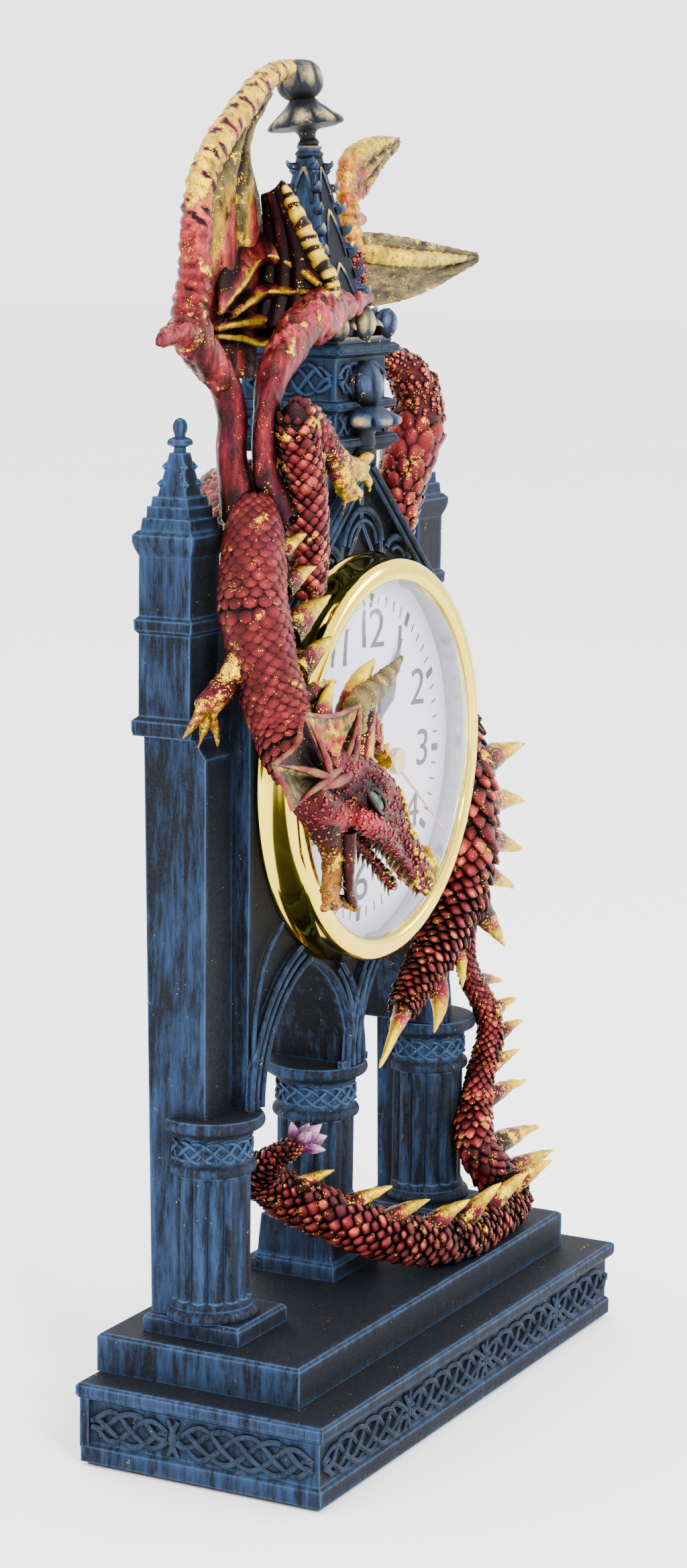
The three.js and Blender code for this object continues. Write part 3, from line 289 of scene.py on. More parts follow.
@dataclass(frozen=True)
class Paint(Finish):
    """Pearly paint over cast resin: its colour follows how far a point stands out of the skin."""

    stops: tuple = ()
    # recess darkens the crevices, partly as a dark wash and partly as painted shade, and colours the
    # scratches.
    recess: Colour = (0.003, 0.001, 0.0015)
    mottle: float = 260
    sway: float = 0.5
    patch: float = 0.35
    grain: Point = (1, 1, 1)
    blush: Colour = (0.12, 0.012, 0.1)
    glitter: float = 0.08
    crust: float = 0.0
    metallic: float = 0.5
    roughness: float = 0.34
    streaks: float = 0.0

    def build(self) -> bpy.types.Material:
        """Colours by the piece's own rise, clouded, darkened in crevices as wash and painted shade, and
        flecked with gold.

        Returns:
            The material.
        """
        shade = Shade(self.name)
        rise = shade.node("Attribute", attribute_name="rise").outputs["Fac"]
        cloud = shade.noise(self.mottle, 4, 0.62, self.grain)
        broad = shade.noise(52, 3, 0.6)
        level = shade.plus(rise, shade.times(shade.minus(cloud, 0.5), self.sway))
        level = shade.plus(level, shade.times(shade.minus(broad, 0.5), 2 * self.patch))
        colour = shade.ramp(level, self.stops)
        flush = shade.times(shade.window(shade.noise(75, 2), 0.56, 0.7), self.patch)
        colour = shade.mix(flush, colour, self.blush)
        fine = shade.noise(2600, 3, 0.65)
        # Crevices darken by ambient occlusion: partly the dark wash of antiqued paint, partly painted shade.
        clear = shade.plus(shade.open(0.003), shade.times(shade.minus(fine, 0.5), 0.55))
        colour = shade.mix(shade.window(clear, 0.5, 1.05), self.recess, colour)
        scratch = shade.window(shade.noise(520, 5, 0.75, self.grain), 0.6 - 0.2 * self.streaks, 0.66)
        colour = shade.mix(shade.times(scratch, min(self.streaks, 1.0)), colour, self.recess)
        flakes = shade.flakes(4300, self.glitter)
        if self.crust:
            spread = shade.plus(shade.noise(190, 5, 0.72), shade.times(rise, 0.12))
            spread = shade.window(spread, 0.72 - self.crust, 0.78 - self.crust)
            flakes = shade.reckon("MAXIMUM", flakes, shade.times(spread, shade.window(fine, 0.38, 0.5)))
        colour = shade.mix(flakes, colour, GOLD)
        shine = shade.reckon("MAXIMUM", flakes, self.metallic)
        relief = shade.plus(shade.times(fine, 0.5), cloud)
        return shade.dress(colour, self.roughness, shine, relief, 0.0003, Specular_IOR_Level=0.16)


@dataclass(frozen=True)
class Plain(Finish):
    """Metal, plastic, card or felt in one colour, with the fine unevenness of its kind."""

    colour: Colour = (0.5, 0.5, 0.5)
    other: Colour = (0.5, 0.5, 0.5)
    roughness: float = 0.4
    spread: float = 0.1
    metallic: float = 0.0
    scale: float = 600
    depth: float = 0.00002

    def build(self) -> bpy.types.Material:
        """Two near colours clouded together, and a roughness that varies a little.

        Returns:
            The material.
        """
        shade = Shade(self.name)
        cloud = shade.noise(self.scale, 5, 0.6)
        colour = shade.mix(shade.window(cloud, 0.35, 0.65), self.colour, self.other)
        rough = shade.node("MapRange", {"Value": cloud, "From Min": 0.3, "From Max": 0.7,
                                        "To Min": self.roughness - self.spread / 2,
                                        "To Max": self.roughness + self.spread / 2}).outputs["Result"]
        return shade.dress(colour, rough, self.metallic, cloud, self.depth)


@dataclass(frozen=True)
class Glass(Finish):
    """Clear mineral glass with the faintest unevenness."""

    def build(self) -> bpy.types.Material:
        """Full transmission with a nearly flat bump."""
        shade = Shade(self.name)
        tint = shade.mix(shade.noise(40, 2), (0.985, 0.99, 1.0), (1.0, 1.0, 1.0))
        return shade.dress(tint, 0.01, 0.0, shade.noise(60, 2), 0.000004,
                           Transmission_Weight=1.0, IOR=1.12)


RED_STOPS = ((0, (0.0014, 0.0003, 0.0004)), (0.22, (0.014, 0.0008, 0.001)),
             (0.45, (0.066, 0.0036, 0.0045)), (0.7, (0.18, 0.014, 0.016)), (1, (0.66, 0.11, 0.065)))
HEAD_STOPS = ((0, (0.0016, 0.0003, 0.0004)), (0.25, (0.02, 0.0009, 0.0013)),
              (0.5, (0.11, 0.0045, 0.0075)), (0.75, (0.3, 0.012, 0.021)), (1, (0.66, 0.048, 0.068)))
NECK_STOPS = ((0, (0.004, 0.0005, 0.0006)), (0.3, (0.026, 0.0017, 0.0022)),
              (0.6, (0.09, 0.006, 0.0075)), (0.85, (0.22, 0.02, 0.024)), (1, (0.6, 0.09, 0.09)))
SKIN_STOPS = ((0, (0.0025, 0.0004, 0.0005)), (0.25, (0.018, 0.001, 0.0014)),
              (0.45, (0.09, 0.0048, 0.0065)), (0.7, (0.25, 0.02, 0.026)), (1, (0.62, 0.085, 0.09)))
THORN_STOPS = ((0, (0.005, 0.0006, 0.001)), (0.2, (0.045, 0.002, 0.005)), (0.38, (0.2, 0.015, 0.028)),
               (0.5, (0.5, 0.29, 0.001)), (0.8, (0.8, 0.52, 0.001)), (1, (1.0, 0.68, 0.002)))
WING_STOPS = (
    (0, (0.004, 0.0006, 0.001)), (0.16, (0.01, 0.001, 0.0012)), (0.27, (0.19, 0.012, 0.015)),
    (0.45, (0.5, 0.048, 0.048)), (0.56, (0.48, 0.26, 0.003)), (0.72, (0.6, 0.4, 0.012)),
    (1, (0.5, 0.38, 0.06)))
ROPE_STOPS = ((0, (0.003, 0.002, 0.003)), (0.42, (0.014, 0.007, 0.004)), (0.52, (0.4, 0.22, 0.001)),
              (0.8, (0.66, 0.42, 0.01)), (1, (0.68, 0.5, 0.06)))
BONE_STOPS = ((0, (0.005, 0.004, 0.003)), (0.3, (0.035, 0.023, 0.01)), (0.55, (0.15, 0.105, 0.033)),
              (0.8, (0.31, 0.23, 0.07)), (1, (0.52, 0.4, 0.13)))
WEB_STOPS = ((0, (0.003, 0.0008, 0.0012)), (0.22, (0.02, 0.0011, 0.0026)), (0.36, (0.2, 0.011, 0.014)),
             (0.5, (0.48, 0.07, 0.052)), (0.58, (0.48, 0.25, 0.006)), (0.7, (0.17, 0.125, 0.04)),
             (0.85, (0.055, 0.042, 0.02)), (1, (0.26, 0.19, 0.055)))

STONE = Stone("blue_brushed_stone", "stone")
# STONE_DARK and the tracery stone are darker copies of the stone for parts in shade: painted shade.
STONE_DARK = Stone("shadowed_stone", "stone", (0.0018, 0.0021, 0.003), cover=-0.08)
SHADED_TRACERY = Stone("traced_stone_in_shade", "stone", (0.0022, 0.0026, 0.0038), (0.012, 0.027, 0.065),
                (0.03, 0.062, 0.135), 0.03, (1, 1, 0.5))
KNOT = Stone("knotted_stone", "stone", (0.0026, 0.003, 0.0042), (0.011, 0.017, 0.03), (0.026, 0.044, 0.08),
             0.02, (1, 1, 0.5))
LEAF = Paint("leaf_stone", "stone", (
    (0, (0.0018, 0.0021, 0.0035)), (0.4, (0.005, 0.012, 0.034)), (0.66, (0.03, 0.06, 0.13)),
    (0.84, (0.2, 0.17, 0.1)), (1, (0.5, 0.36, 0.12))), (0.002, 0.002, 0.003), 300, 0.6, 0.25, (1, 1, 0.4),
    (0.008, 0.02, 0.055), glitter=-0.02, metallic=0.1, roughness=0.5, streaks=0.7)
ASH = Paint("ash_leaf", "bone", (
    (0, (0.002, 0.0022, 0.003)), (0.45, (0.008, 0.012, 0.02)), (0.62, (0.12, 0.1, 0.065)),
    (1, (0.5, 0.38, 0.17))), (0.002, 0.002, 0.003), 420, 0.9, 0.15, (1, 1, 0.3), (0.01, 0.02, 0.05), -0.02,
    metallic=0.1, roughness=0.5, streaks=0.8)
CREAM = Paint("cream_bud", "bone", (
    (0, (0.002, 0.0025, 0.004)), (0.35, (0.01, 0.014, 0.024)), (0.55, (0.13, 0.11, 0.065)),
    (1, (0.6, 0.44, 0.18))), (0.003, 0.003, 0.004), 320, 0.9, 0.3, (1, 1, 0.3), (0.01, 0.025, 0.07), -0.02,
    metallic=0.1, roughness=0.5, streaks=0.7)
HEAD = Paint("crimson_head", "scales", HEAD_STOPS, patch=0.25, blush=(0.14, 0.008, 0.035), glitter=0.0,
             crust=-0.02, roughness=0.26, streaks=0.5)
HIDE = Paint("crimson_hide", "scales", RED_STOPS, blush=(0.1, 0.006, 0.02), glitter=0.05,
             crust=0.04, roughness=0.25)
NECK = Paint("rose_hide", "scales", NECK_STOPS, (0.006, 0.001, 0.002), sway=0.6, patch=0.35,
             blush=(0.14, 0.014, 0.05), glitter=0.0, crust=0.02, roughness=0.34, streaks=0.4)
SKIN = Paint("flushed_skin", "wing", SKIN_STOPS, mottle=190, sway=1.3, patch=0.3, grain=(1, 1, 0.3),
             blush=(0.14, 0.012, 0.035), glitter=0.0, crust=0.04, roughness=0.24, streaks=1.1)
THORN = Paint("gilded_thorn", "claw", THORN_STOPS, mottle=420, patch=0.2, blush=(0.16, 0.01, 0.04),
              glitter=0.16, crust=0.1, metallic=0.6, roughness=0.3)
WING = Paint("wing_finger", "wing", WING_STOPS, mottle=380, sway=0.4, patch=0.14, glitter=0.04, crust=0.12,
             streaks=0.9)
ROPE = Paint("gilded_rope", "claw", ROPE_STOPS, mottle=300, sway=0.2, patch=0.05, glitter=0.1, crust=0.04,
             metallic=0.6)
TENDON = Paint("wing_tendon", "wing", (
    (0, (0.01, 0.0008, 0.0015)), (0.3, (0.15, 0.006, 0.009)), (0.5, (0.42, 0.22, 0.001)),
    (1, (0.72, 0.44, 0.003))), mottle=420, sway=0.9, patch=0.1, glitter=0.06, crust=0.12, metallic=0.6,
    streaks=0.8)
WEB = Paint("wing_web", "wing", WEB_STOPS, mottle=240, sway=0.5, patch=0.12, grain=(1, 1, 0.3),
            glitter=0.0, crust=0.05, roughness=0.4, streaks=1.1)
VANE = Paint("bone_vane", "bone", BONE_STOPS, (0.003, 0.002, 0.002), 300, 1.1, 0.15, (0.22, 1, 1),
             (0.12, 0.01, 0.015), 0.02, 0.03, metallic=0.15, roughness=0.5, streaks=1.2)
CORD = Paint("flesh_cord", "bone", (
    (0, (0.02, 0.002, 0.002)), (0.3, (0.13, 0.012, 0.013)), (0.55, (0.2, 0.055, 0.03)),
    (0.72, (0.16, 0.095, 0.03)), (1, (0.34, 0.23, 0.08))), mottle=420, sway=0.8, patch=0.15, glitter=0.0,
    crust=0.03, metallic=0.3, streaks=0.4)
BONE = Paint("old_bone", "bone", BONE_STOPS, (0.004, 0.003, 0.002), 520, 0.9, 0.15, (1, 1, 0.4),
             (0.1, 0.012, 0.008), 0.04, 0.04, metallic=0.2, roughness=0.42, streaks=0.8)
GOLDEN = Paint("gilded_crust", "claw", THORN_STOPS, (0.004, 0.002, 0.002), 520, 0.7, 0.3, (1, 1, 1),
               (0.05, 0.004, 0.01), 0.14, 0.14, 0.75, 0.26, 0.9)
CLAW = Paint("gold_claw", "claw", (
    (0, (0.012, 0.005, 0.002)), (0.3, (0.14, 0.066, 0.002)), (0.55, (0.42, 0.24, 0.001)),
    (1, (0.78, 0.48, 0.002))), (0.01, 0.004, 0.002), 400, 0.7, 0.3, (1, 1, 1), (0.12, 0.012, 0.006), 0.1,
    0.1, 0.8, 0.28, 0.7)
JAW = Paint("ochre_jaw", "scales", (
    (0, (0.003, 0.0006, 0.001)), (0.3, (0.055, 0.0035, 0.004)), (0.55, (0.22, 0.055, 0.01)),
    (1, (0.46, 0.19, 0.028))), mottle=520, sway=0.9, patch=0.14, glitter=0.0, crust=0.02, streaks=1.0)
GEM = Paint("violet_gem", "gem", (
    (0, (0.03, 0.003, 0.02)), (0.5, (0.11, 0.014, 0.075)), (1, (0.5, 0.3, 0.42))), (0.03, 0.005, 0.04), 500,
    0.5, 0.2, (1, 1, 1), (0.3, 0.02, 0.2), 0.02, metallic=0.3, roughness=0.16)
EYE = Paint("green_eye", "eye", (
    (0, (0.002, 0.006, 0.003)), (0.3, (0.004, 0.03, 0.012)), (0.6, (0.008, 0.065, 0.026)),
    (1, (0.03, 0.13, 0.055))), (0.001, 0.002, 0.001), 900, 0.5, 0.1, (1, 1, 1), (0.01, 0.1, 0.04), 0.0,
    metallic=0.3, roughness=0.08)
GILT = Plain("polished_gilt", "gilt", (0.78, 0.58, 0.04), (0.84, 0.62, 0.05), 0.1, 0.04, 1.0, 90,
             depth=0.000004)
SILVER = Plain("satin_silver", "silver", (0.34, 0.35, 0.38), (0.44, 0.45, 0.48), 0.16, 0.04, 0.9, 60,
               depth=0.000001)
PAPER = Plain("dial_card", "paper", (0.78, 0.77, 0.92), (0.82, 0.81, 0.96), 0.55, 0.05, 0.0, 2500,
              depth=0.000006)
INK = Plain("grey_ink", "hand_grey", (0.055, 0.055, 0.062), (0.075, 0.075, 0.082), 0.4, 0.05, 0.25, 900)
HAND_GREY = Plain("grey_hand", "hand_grey", (0.09, 0.09, 0.1), (0.12, 0.12, 0.13), 0.4, 0.06, 0.2, 500)
HAND_RED = Plain("rose_hand", "hand_red", (0.62, 0.12, 0.2), (0.68, 0.15, 0.24), 0.4, 0.06, 0.0, 500)
CAP_GOLD = Plain("pale_gold_cap", "gilt", (0.62, 0.52, 0.22), (0.66, 0.56, 0.26), 0.3, 0.06, 0.5, 500)
FELT = Plain("black_felt", "felt", (0.012, 0.012, 0.014), (0.03, 0.03, 0.034), 0.95, 0.05, 0.0, 2200,
             depth=0.0003)
BLACK_PLASTIC = Plain("black_moulding", "black_plastic", (0.014, 0.015, 0.018), (0.02, 0.021, 0.025), 0.45,
                      0.1, 0.0, 1400, depth=0.00003)
WHITE_PLASTIC = Plain("white_moulding", "white_plastic", (0.78, 0.77, 0.72), (0.82, 0.81, 0.77), 0.42,
                      0.08, 0.0, 900)
BRASS = Plain("spun_brass", "brass", (0.68, 0.46, 0.15), (0.75, 0.53, 0.2), 0.28, 0.08, 1.0, 700)
STEEL = Plain("drawn_steel", "steel", (0.5, 0.51, 0.53), (0.58, 0.59, 0.61), 0.3, 0.08, 1.0, 900)
BOARD = Plain("green_board", "board", (0.02, 0.12, 0.04), (0.04, 0.18, 0.07), 0.5, 0.1, 0.0, 500)
CELL = Plain("cell_jacket", "cell", (0.02, 0.06, 0.2), (0.03, 0.08, 0.26), 0.35, 0.08, 0.3, 300)
LENS = Glass("clear_lens", "glass")

# Modelling helpers


def deselect() -> None:
    """Leaves nothing selected, so that an operator acts on what it adds alone."""
    bpy.ops.object.select_all(action="DESELECT")


def solo(obj: Piece) -> None:
    """Leaves one object selected and active.

    Args:
        obj: the object.
    """
    deselect()
    obj.select_set(True)
    bpy.context.view_layer.objects.active = obj


@contextmanager
def editing(obj: Piece) -> Iterator[None]:
    """Edit mode on one object with its whole mesh selected.

    Args:
        obj: the object.

    Yields:
        Nothing; the object is back in object mode afterwards.
    """
    solo(obj)
    bpy.ops.object.mode_set(mode="EDIT")
    bpy.ops.mesh.select_all(action="SELECT")
    yield
    bpy.ops.object.mode_set(mode="OBJECT")


def weld(obj: Piece, gap: float = 0.004) -> Piece:
    """Merges doubles and turns the faces outwards.

    Args:
        obj: the mesh.
        gap: how close doubles are, in mm.

    Returns:
        The mesh.
    """
    with editing(obj):
        bpy.ops.mesh.remove_doubles(threshold=gap * MM)
        bpy.ops.mesh.normals_make_consistent(inside=False)
    return obj


def settle(obj: Piece) -> Piece:
    """Puts an object's place into its mesh.

    Args:
        obj: the object.

    Returns:
        The object, at the origin, unturned and unscaled.
    """
    solo(obj)
    bpy.ops.object.transform_apply(location=True, rotation=True, scale=True)
    return obj


def coordinates(obj: Piece) -> np.ndarray:
    """Reads an object's vertices.

    Args:
        obj: the mesh.

    Returns:
        Its points in metres, one row each.
    """
    flat = np.empty(len(obj.data.vertices) * 3)
    obj.data.vertices.foreach_get("co", flat)
    return flat.reshape(-1, 3)


def spots(obj: Piece) -> np.ndarray:
    """An object's vertices in mm, one row each."""
    return coordinates(obj) / MM


def reshape(obj: Piece, points: np.ndarray) -> Piece:
    """Moves an object's vertices.

    Args:
        obj: the mesh.
        points: their new points in metres, one row each.

    Returns:
        The mesh.
    """
    obj.data.vertices.foreach_set("co", np.ascontiguousarray(points, dtype=np.float32).ravel())
    obj.data.update()
    return obj


def carried(points: np.ndarray, place: Matrix) -> np.ndarray:
    """Turns and moves points.

    Args:
        points: the points in mm, one row each.
        place: their turn and move, in mm.

    Returns:
        The points in metres.
    """
    homogeneous = np.hstack([points, np.ones((len(points), 1))])
    return (homogeneous @ np.array(place).T)[:, :3] * MM


def flatten_back(obj: Piece, depth: float) -> Piece:
    """Presses what lies far back flat, so that the piece stands against a wall.

    Args:
        obj: the mesh.
        depth: the y of that wall, in mm.

    Returns:
        The mesh.
    """
    points = coordinates(obj)
    points[:, 1] = np.minimum(points[:, 1], depth * MM)
    return reshape(obj, points)


def widen(obj: Piece, x: float, y: float, share: float) -> Piece:
    """Widens a mesh about an upright axis.

    Args:
        obj: the mesh.
        x: the axis, across, in mm.
        y: the axis, front to back, in mm.
        share: how many times wider it gets.

    Returns:
        The mesh.
    """
    points, axis = coordinates(obj), np.array([x, y]) * MM
    points[:, :2] = (points[:, :2] - axis) * share + axis
    return reshape(obj, points)


def nearness(points: np.ndarray, centre: Point, reach: Point, edge: float) -> np.ndarray:
    """How near points lie to a feature of the head.

    Args:
        points: the points in mm, one row each.
        centre: the feature's middle.
        reach: its half size along each axis.
        edge: how many half sizes out it has no effect any more.

    Returns:
        One number a point, 0 outside the edge and 1 well inside.
    """
    return np.clip(edge - np.linalg.norm((points - centre) / reach, axis=1), 0, 1)


def mark_rise(obj: Piece, values: np.ndarray | float) -> Piece:
    """Stores how far each vertex stands out, which the paints read.

    Args:
        obj: the mesh.
        values: one number a vertex or one for all, kept between 0 and 1.

    Returns:
        The mesh.
    """
    rise = obj.data.attributes.get("rise") or obj.data.attributes.new("rise", "FLOAT", "POINT")
    levels = np.broadcast_to(values, len(obj.data.vertices))
    rise.data.foreach_set("value", np.clip(levels, 0, 1).astype(np.float32))
    return obj


def modify(obj: Piece, kind: str, **settings: object) -> Piece:
    """Adds a modifier and applies it.

    Args:
        obj: the mesh.
        kind: the modifier's type.
        **settings: the modifier's own properties.

    Returns:
        The mesh.
    """
    solo(obj)
    modifier = obj.modifiers.new(kind, kind)
    for key, value in settings.items():
        setattr(modifier, key, value)
    bpy.ops.object.modifier_apply(modifier=modifier.name)
    return obj


def lumpy(obj: Piece, size: float, height: float, stretch: float = 1.0) -> Piece:
    """Presses soft uneven lumps into a mesh.

    Args:
        obj: the mesh.
        size: how wide the lumps are, in mm.
        height: how far they stand out or in, in mm.
        stretch: how many times taller than wide they are.

    Returns:
        The mesh.
    """
    clouds = bpy.data.textures.get(f"lumps_{size}") or bpy.data.textures.new(f"lumps_{size}", "CLOUDS")
    clouds.noise_scale, clouds.noise_depth = size * MM, 2
    reshape(obj, coordinates(obj) * (1, 1, 1 / stretch))
    modify(obj, "DISPLACE", texture=clouds, texture_coords="LOCAL", mid_level=0.5, strength=2 * height * MM)
    return reshape(obj, coordinates(obj) * (1, 1, stretch))


def merge(objects: list[Piece]) -> Piece:
    """Joins objects into one.

    Args:
        objects: the objects.

    Returns:
        The first of them, which now holds all.
    """
    solo(objects[0])
    for obj in objects[1:]:
        obj.select_set(True)
    if len(objects) > 1:
        bpy.ops.object.join()
    return objects[0]


def fuse(parts: list[Piece], voxel: float, rounds: int = 0) -> Piece:
    """Grows one skin without seams over several parts.

    Args:
        parts: the parts.
        voxel: how fine the skin is, in mm.
        rounds: how many times it is smoothed.

    Returns:
        The skin.
    """
    skin = modify(merge(parts), "REMESH", mode="VOXEL", voxel_size=voxel * MM)
    if rounds:
        modify(skin, "SMOOTH", factor=0.5, iterations=rounds)
    return skin


def present(obj: Piece, name: str, finish: Finish, replaces: tuple[str, ...] = (),
            body: Body = Body.CASE, smooth: float = 50) -> Piece:
    """Names, dresses and seats a finished piece.

    Args:
        obj: the piece.
        name: its name.
        finish: its finish.
        replaces: the CAD nodes that it stands for.
        body: the body that it rides on.
        smooth: the angle in degrees under which its faces shade smoothly.

    Returns:
        The piece.
    """
    obj.name = obj.data.name = name
    obj.data.materials.clear()
    obj.data.materials.append(finish.material())
    solo(obj)
    bpy.ops.object.shade_smooth_by_angle(angle=math.radians(smooth))
    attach(obj, body.value)
    if replaces:
        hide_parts(*replaces)
    log.info("%s: %d faces, rides on %s", name, len(obj.data.polygons), body.value)
    return obj


def dress(node: str, finish: Finish) -> None:
    """Gives a CAD node that stays a better material.

    Args:
        node: the node's name.
        finish: its finish.
    """
    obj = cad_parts[node]
    obj = obj if isinstance(obj, Piece) else bpy.data.objects[node]
    for slot in obj.material_slots:
        slot.material = finish.material()
    if not obj.material_slots:
        obj.data.materials.append(finish.material())
    log.info("%s: %s", node, finish.name)


def raw(name: str, points: list, edges: list, faces: list) -> Piece:
    """Makes an object from points.

    Args:
        name: its name.
        points: its points in metres.
        edges: pairs of their numbers, for a line alone.
        faces: rings of their numbers.

    Returns:
        The object, in the scene.
    """
    mesh = bpy.data.meshes.new(name)
    mesh.from_pydata(points, edges, faces)
    obj = bpy.data.objects.new(name, mesh)
    bpy.context.scene.collection.objects.link(obj)
    return obj


def catmull(stations: list, count: int) -> np.ndarray:
    """A smooth run through stations, whatever their number of columns.

    Args:
        stations: rows whose first three columns are a place.
        count: how many rows to give back.

    Returns:
        The rows, evenly spread over the stations' spans.
    """
    rows = np.array(stations, float)
    rows = np.vstack([2 * rows[0] - rows[1], rows, 2 * rows[-1] - rows[-2]])
    gaps = np.maximum(np.linalg.norm(np.diff(rows[:, :3], axis=0), axis=1), 1e-6) ** 0.5
    spans = len(rows) - 3
    made = []
    for t in np.linspace(0, spans, count):
        k = min(int(t), spans - 1)
        u = t - k
        p0, p1, p2, p3 = rows[k:k + 4]
        d0, d1, d2 = gaps[k:k + 3]
        m1 = ((p1 - p0) / d0 - (p2 - p0) / (d0 + d1) + (p2 - p1) / d1) * d1
        m2 = ((p2 - p1) / d1 - (p3 - p1) / (d1 + d2) + (p3 - p2) / d2) * d1
        made.append(p1 + m1 * u + (3 * (p2 - p1) - 2 * m1 - m2) * u ** 2
                    + (2 * (p1 - p2) + m1 + m2) * u ** 3)
    return np.array(made)


@dataclass
class Course:
    """A smooth centreline with a radius, and the frame that turns with it.

    A scale's half size is the share `lap` of its room, so that neighbours overlap.
    """

    stations: list
    step: float = 1.2
    lap: float = 0.62
    points: np.ndarray = field(init=False)
    radii: np.ndarray = field(init=False)
    run: np.ndarray = field(init=False)
    along: np.ndarray = field(init=False)
    side: np.ndarray = field(init=False)
    over: np.ndarray = field(init=False)

    def __post_init__(self) -> None:
        """Works out the dense centreline and carries one side vector along it."""
        places = np.array([s[:3] for s in self.stations], float)
        length = np.linalg.norm(np.diff(places, axis=0), axis=1).sum()
        rows = catmull(self.stations, max(int(length / self.step), 2 * len(self.stations)) + 1)
        self.points, self.radii = rows[:, :3], np.maximum(rows[:, 3], 0.05)
        gaps = np.linalg.norm(np.diff(self.points, axis=0), axis=1)
        self.run = np.concatenate([[0], np.cumsum(gaps)])
        tangents = np.gradient(self.points, axis=0)
        self.along = tangents / np.linalg.norm(tangents, axis=1)[:, None]
        side = np.array([0.0, 1.0, 0.3])
        sides = []
        for tangent in self.along:
            side = side - tangent * (side @ tangent)
            side /= np.linalg.norm(side)
            sides.append(side)
        self.side = np.array(sides)
        self.over = np.cross(self.along, self.side)

    def tube(self, sides: int, ribs: float = 0.0, pitch: float = 2.0) -> Piece:
        """The centreline given its thickness.

        Args:
            sides: faces round the tube.
            ribs: how much its rings swell, as a share of the radius.
            pitch: how far apart the rings are, in mm.

        Returns:
            A closed mesh whose rise runs from 0 at the first station to 1 at the last.
        """
        swell = 1 + ribs * (np.abs(np.sin(np.pi * self.run / pitch)) - 0.5) * 2
        deselect()
        bpy.ops.curve.primitive_nurbs_path_add()
        obj = bpy.context.object
        curve = obj.data
        curve.splines.clear()
        spline = curve.splines.new("POLY")
        spline.points.add(len(self.points) - 1)
        homogeneous = np.hstack([self.points * MM, np.ones((len(self.points), 1))])
        spline.points.foreach_set("co", homogeneous.ravel())
        spline.points.foreach_set("radius", self.radii * swell * MM)
        curve.dimensions, curve.bevel_depth, curve.use_fill_caps = "3D", 1.0, True
        curve.bevel_resolution = sides // 2 - 2 if sides > 4 else 0
        bpy.ops.object.convert(target="MESH")
        obj = settle(bpy.context.object)
        weld(obj)
        near = ((spots(obj)[:, None] - self.points[None]) ** 2).sum(2).argmin(1)
        return mark_rise(obj, self.run[near] / self.run[-1])

    def seats(self, pitch: float, length: float, tilt: float, end: float, jitter: float, seed: int,
              spread: float = 0.62, plump: float = 0.26) -> np.ndarray:
        """Seats for overlapping scales in staggered rows.

        Args:
            pitch: a scale's width as a share of the radius.
            length: a scale's length as a share of its width.
            tilt: how far the tips lift, in degrees.
            end: where the last row lies, from 0 to 1.
            jitter: how much sizes vary, as a share.
            seed: the seed of that variation.
            spread: the rows' spacing as a share of a scale's length.
            plump: how thick a scale is, as a share of its width.

        Returns:
            One 4 by 4 matrix a scale, in mm, its y axis along the course and its z axis outwards.
        """
        dice = random.Random(seed)
        run, lean = self.run, math.radians(tilt)
        spot, row, made = 0.0, 0, []
        around = max(7, round(2 * math.pi / pitch))
        while spot <= run[-1] * end:
            centre = np.array([np.interp(spot, run, self.points[:, k]) for k in range(3)])
            k = min(np.searchsorted(run, spot), len(run) - 1)
            radius = float(np.interp(spot, run, self.radii))
            width = 2 * math.pi * radius / around
            for i in range(around):
                angle = 2 * math.pi * (i + 0.5 * (row % 2) + dice.uniform(-0.08, 0.08)) / around
                out = self.side[k] * math.cos(angle) + self.over[k] * math.sin(angle)
                size = width * (1 + dice.uniform(-jitter, jitter))
                forward = self.along[k] * math.cos(lean) + out * math.sin(lean)
                up = out * math.cos(lean) - self.along[k] * math.sin(lean)
                cross = np.cross(forward, up)
                seat = np.eye(4)
                seat[:3, 0] = cross * size * self.lap
                seat[:3, 1] = forward * size * length * self.lap
                seat[:3, 2] = up * size * plump
                seat[:3, 3] = centre + out * (radius - 0.05 * size)
                made.append(seat)
            spot += width * length * spread
            row += 1
        return np.array(made)


@dataclass
class Stamp:
    """One small shape held as arrays, to be laid many times in one mesh."""

    points: np.ndarray
    faces: list
    rise: np.ndarray

    @classmethod
    def of(cls, obj: Piece, rise: Callable[[np.ndarray], np.ndarray]) -> "Stamp":
        """Takes the shape of an object and removes it.

        Args:
            obj: the modelled shape, in units of its own size.
            rise: gives each vertex its rise from the shape's points.

        Returns:
            The stamp.
        """
        points = coordinates(obj)
        faces = [tuple(p.vertices) for p in obj.data.polygons]
        bpy.data.objects.remove(obj)
        return cls(points, faces, rise(points))

    def lay(self, name: str, seats: np.ndarray, rises: np.ndarray | None = None) -> Piece:
        """Lays one copy on each seat.

        Args:
            name: the mesh's name.
            seats: 4 by 4 matrices in mm.
            rises: added to each copy's rise, one number a copy.

        Returns:
            One object with every copy.
        """
        homogeneous = np.hstack([self.points, np.ones((len(self.points), 1))])
        laid = np.einsum("nij,vj->nvi", seats, homogeneous)[:, :, :3].reshape(-1, 3) * MM
        count = len(self.points)
        faces = [tuple(v + k * count for v in face) for k in range(len(seats)) for face in self.faces]
        obj = raw(name, laid.tolist(), [], faces)
        extra = np.zeros(len(seats)) if rises is None else rises
        return mark_rise(obj, (self.rise[None] + extra[:, None]).ravel())


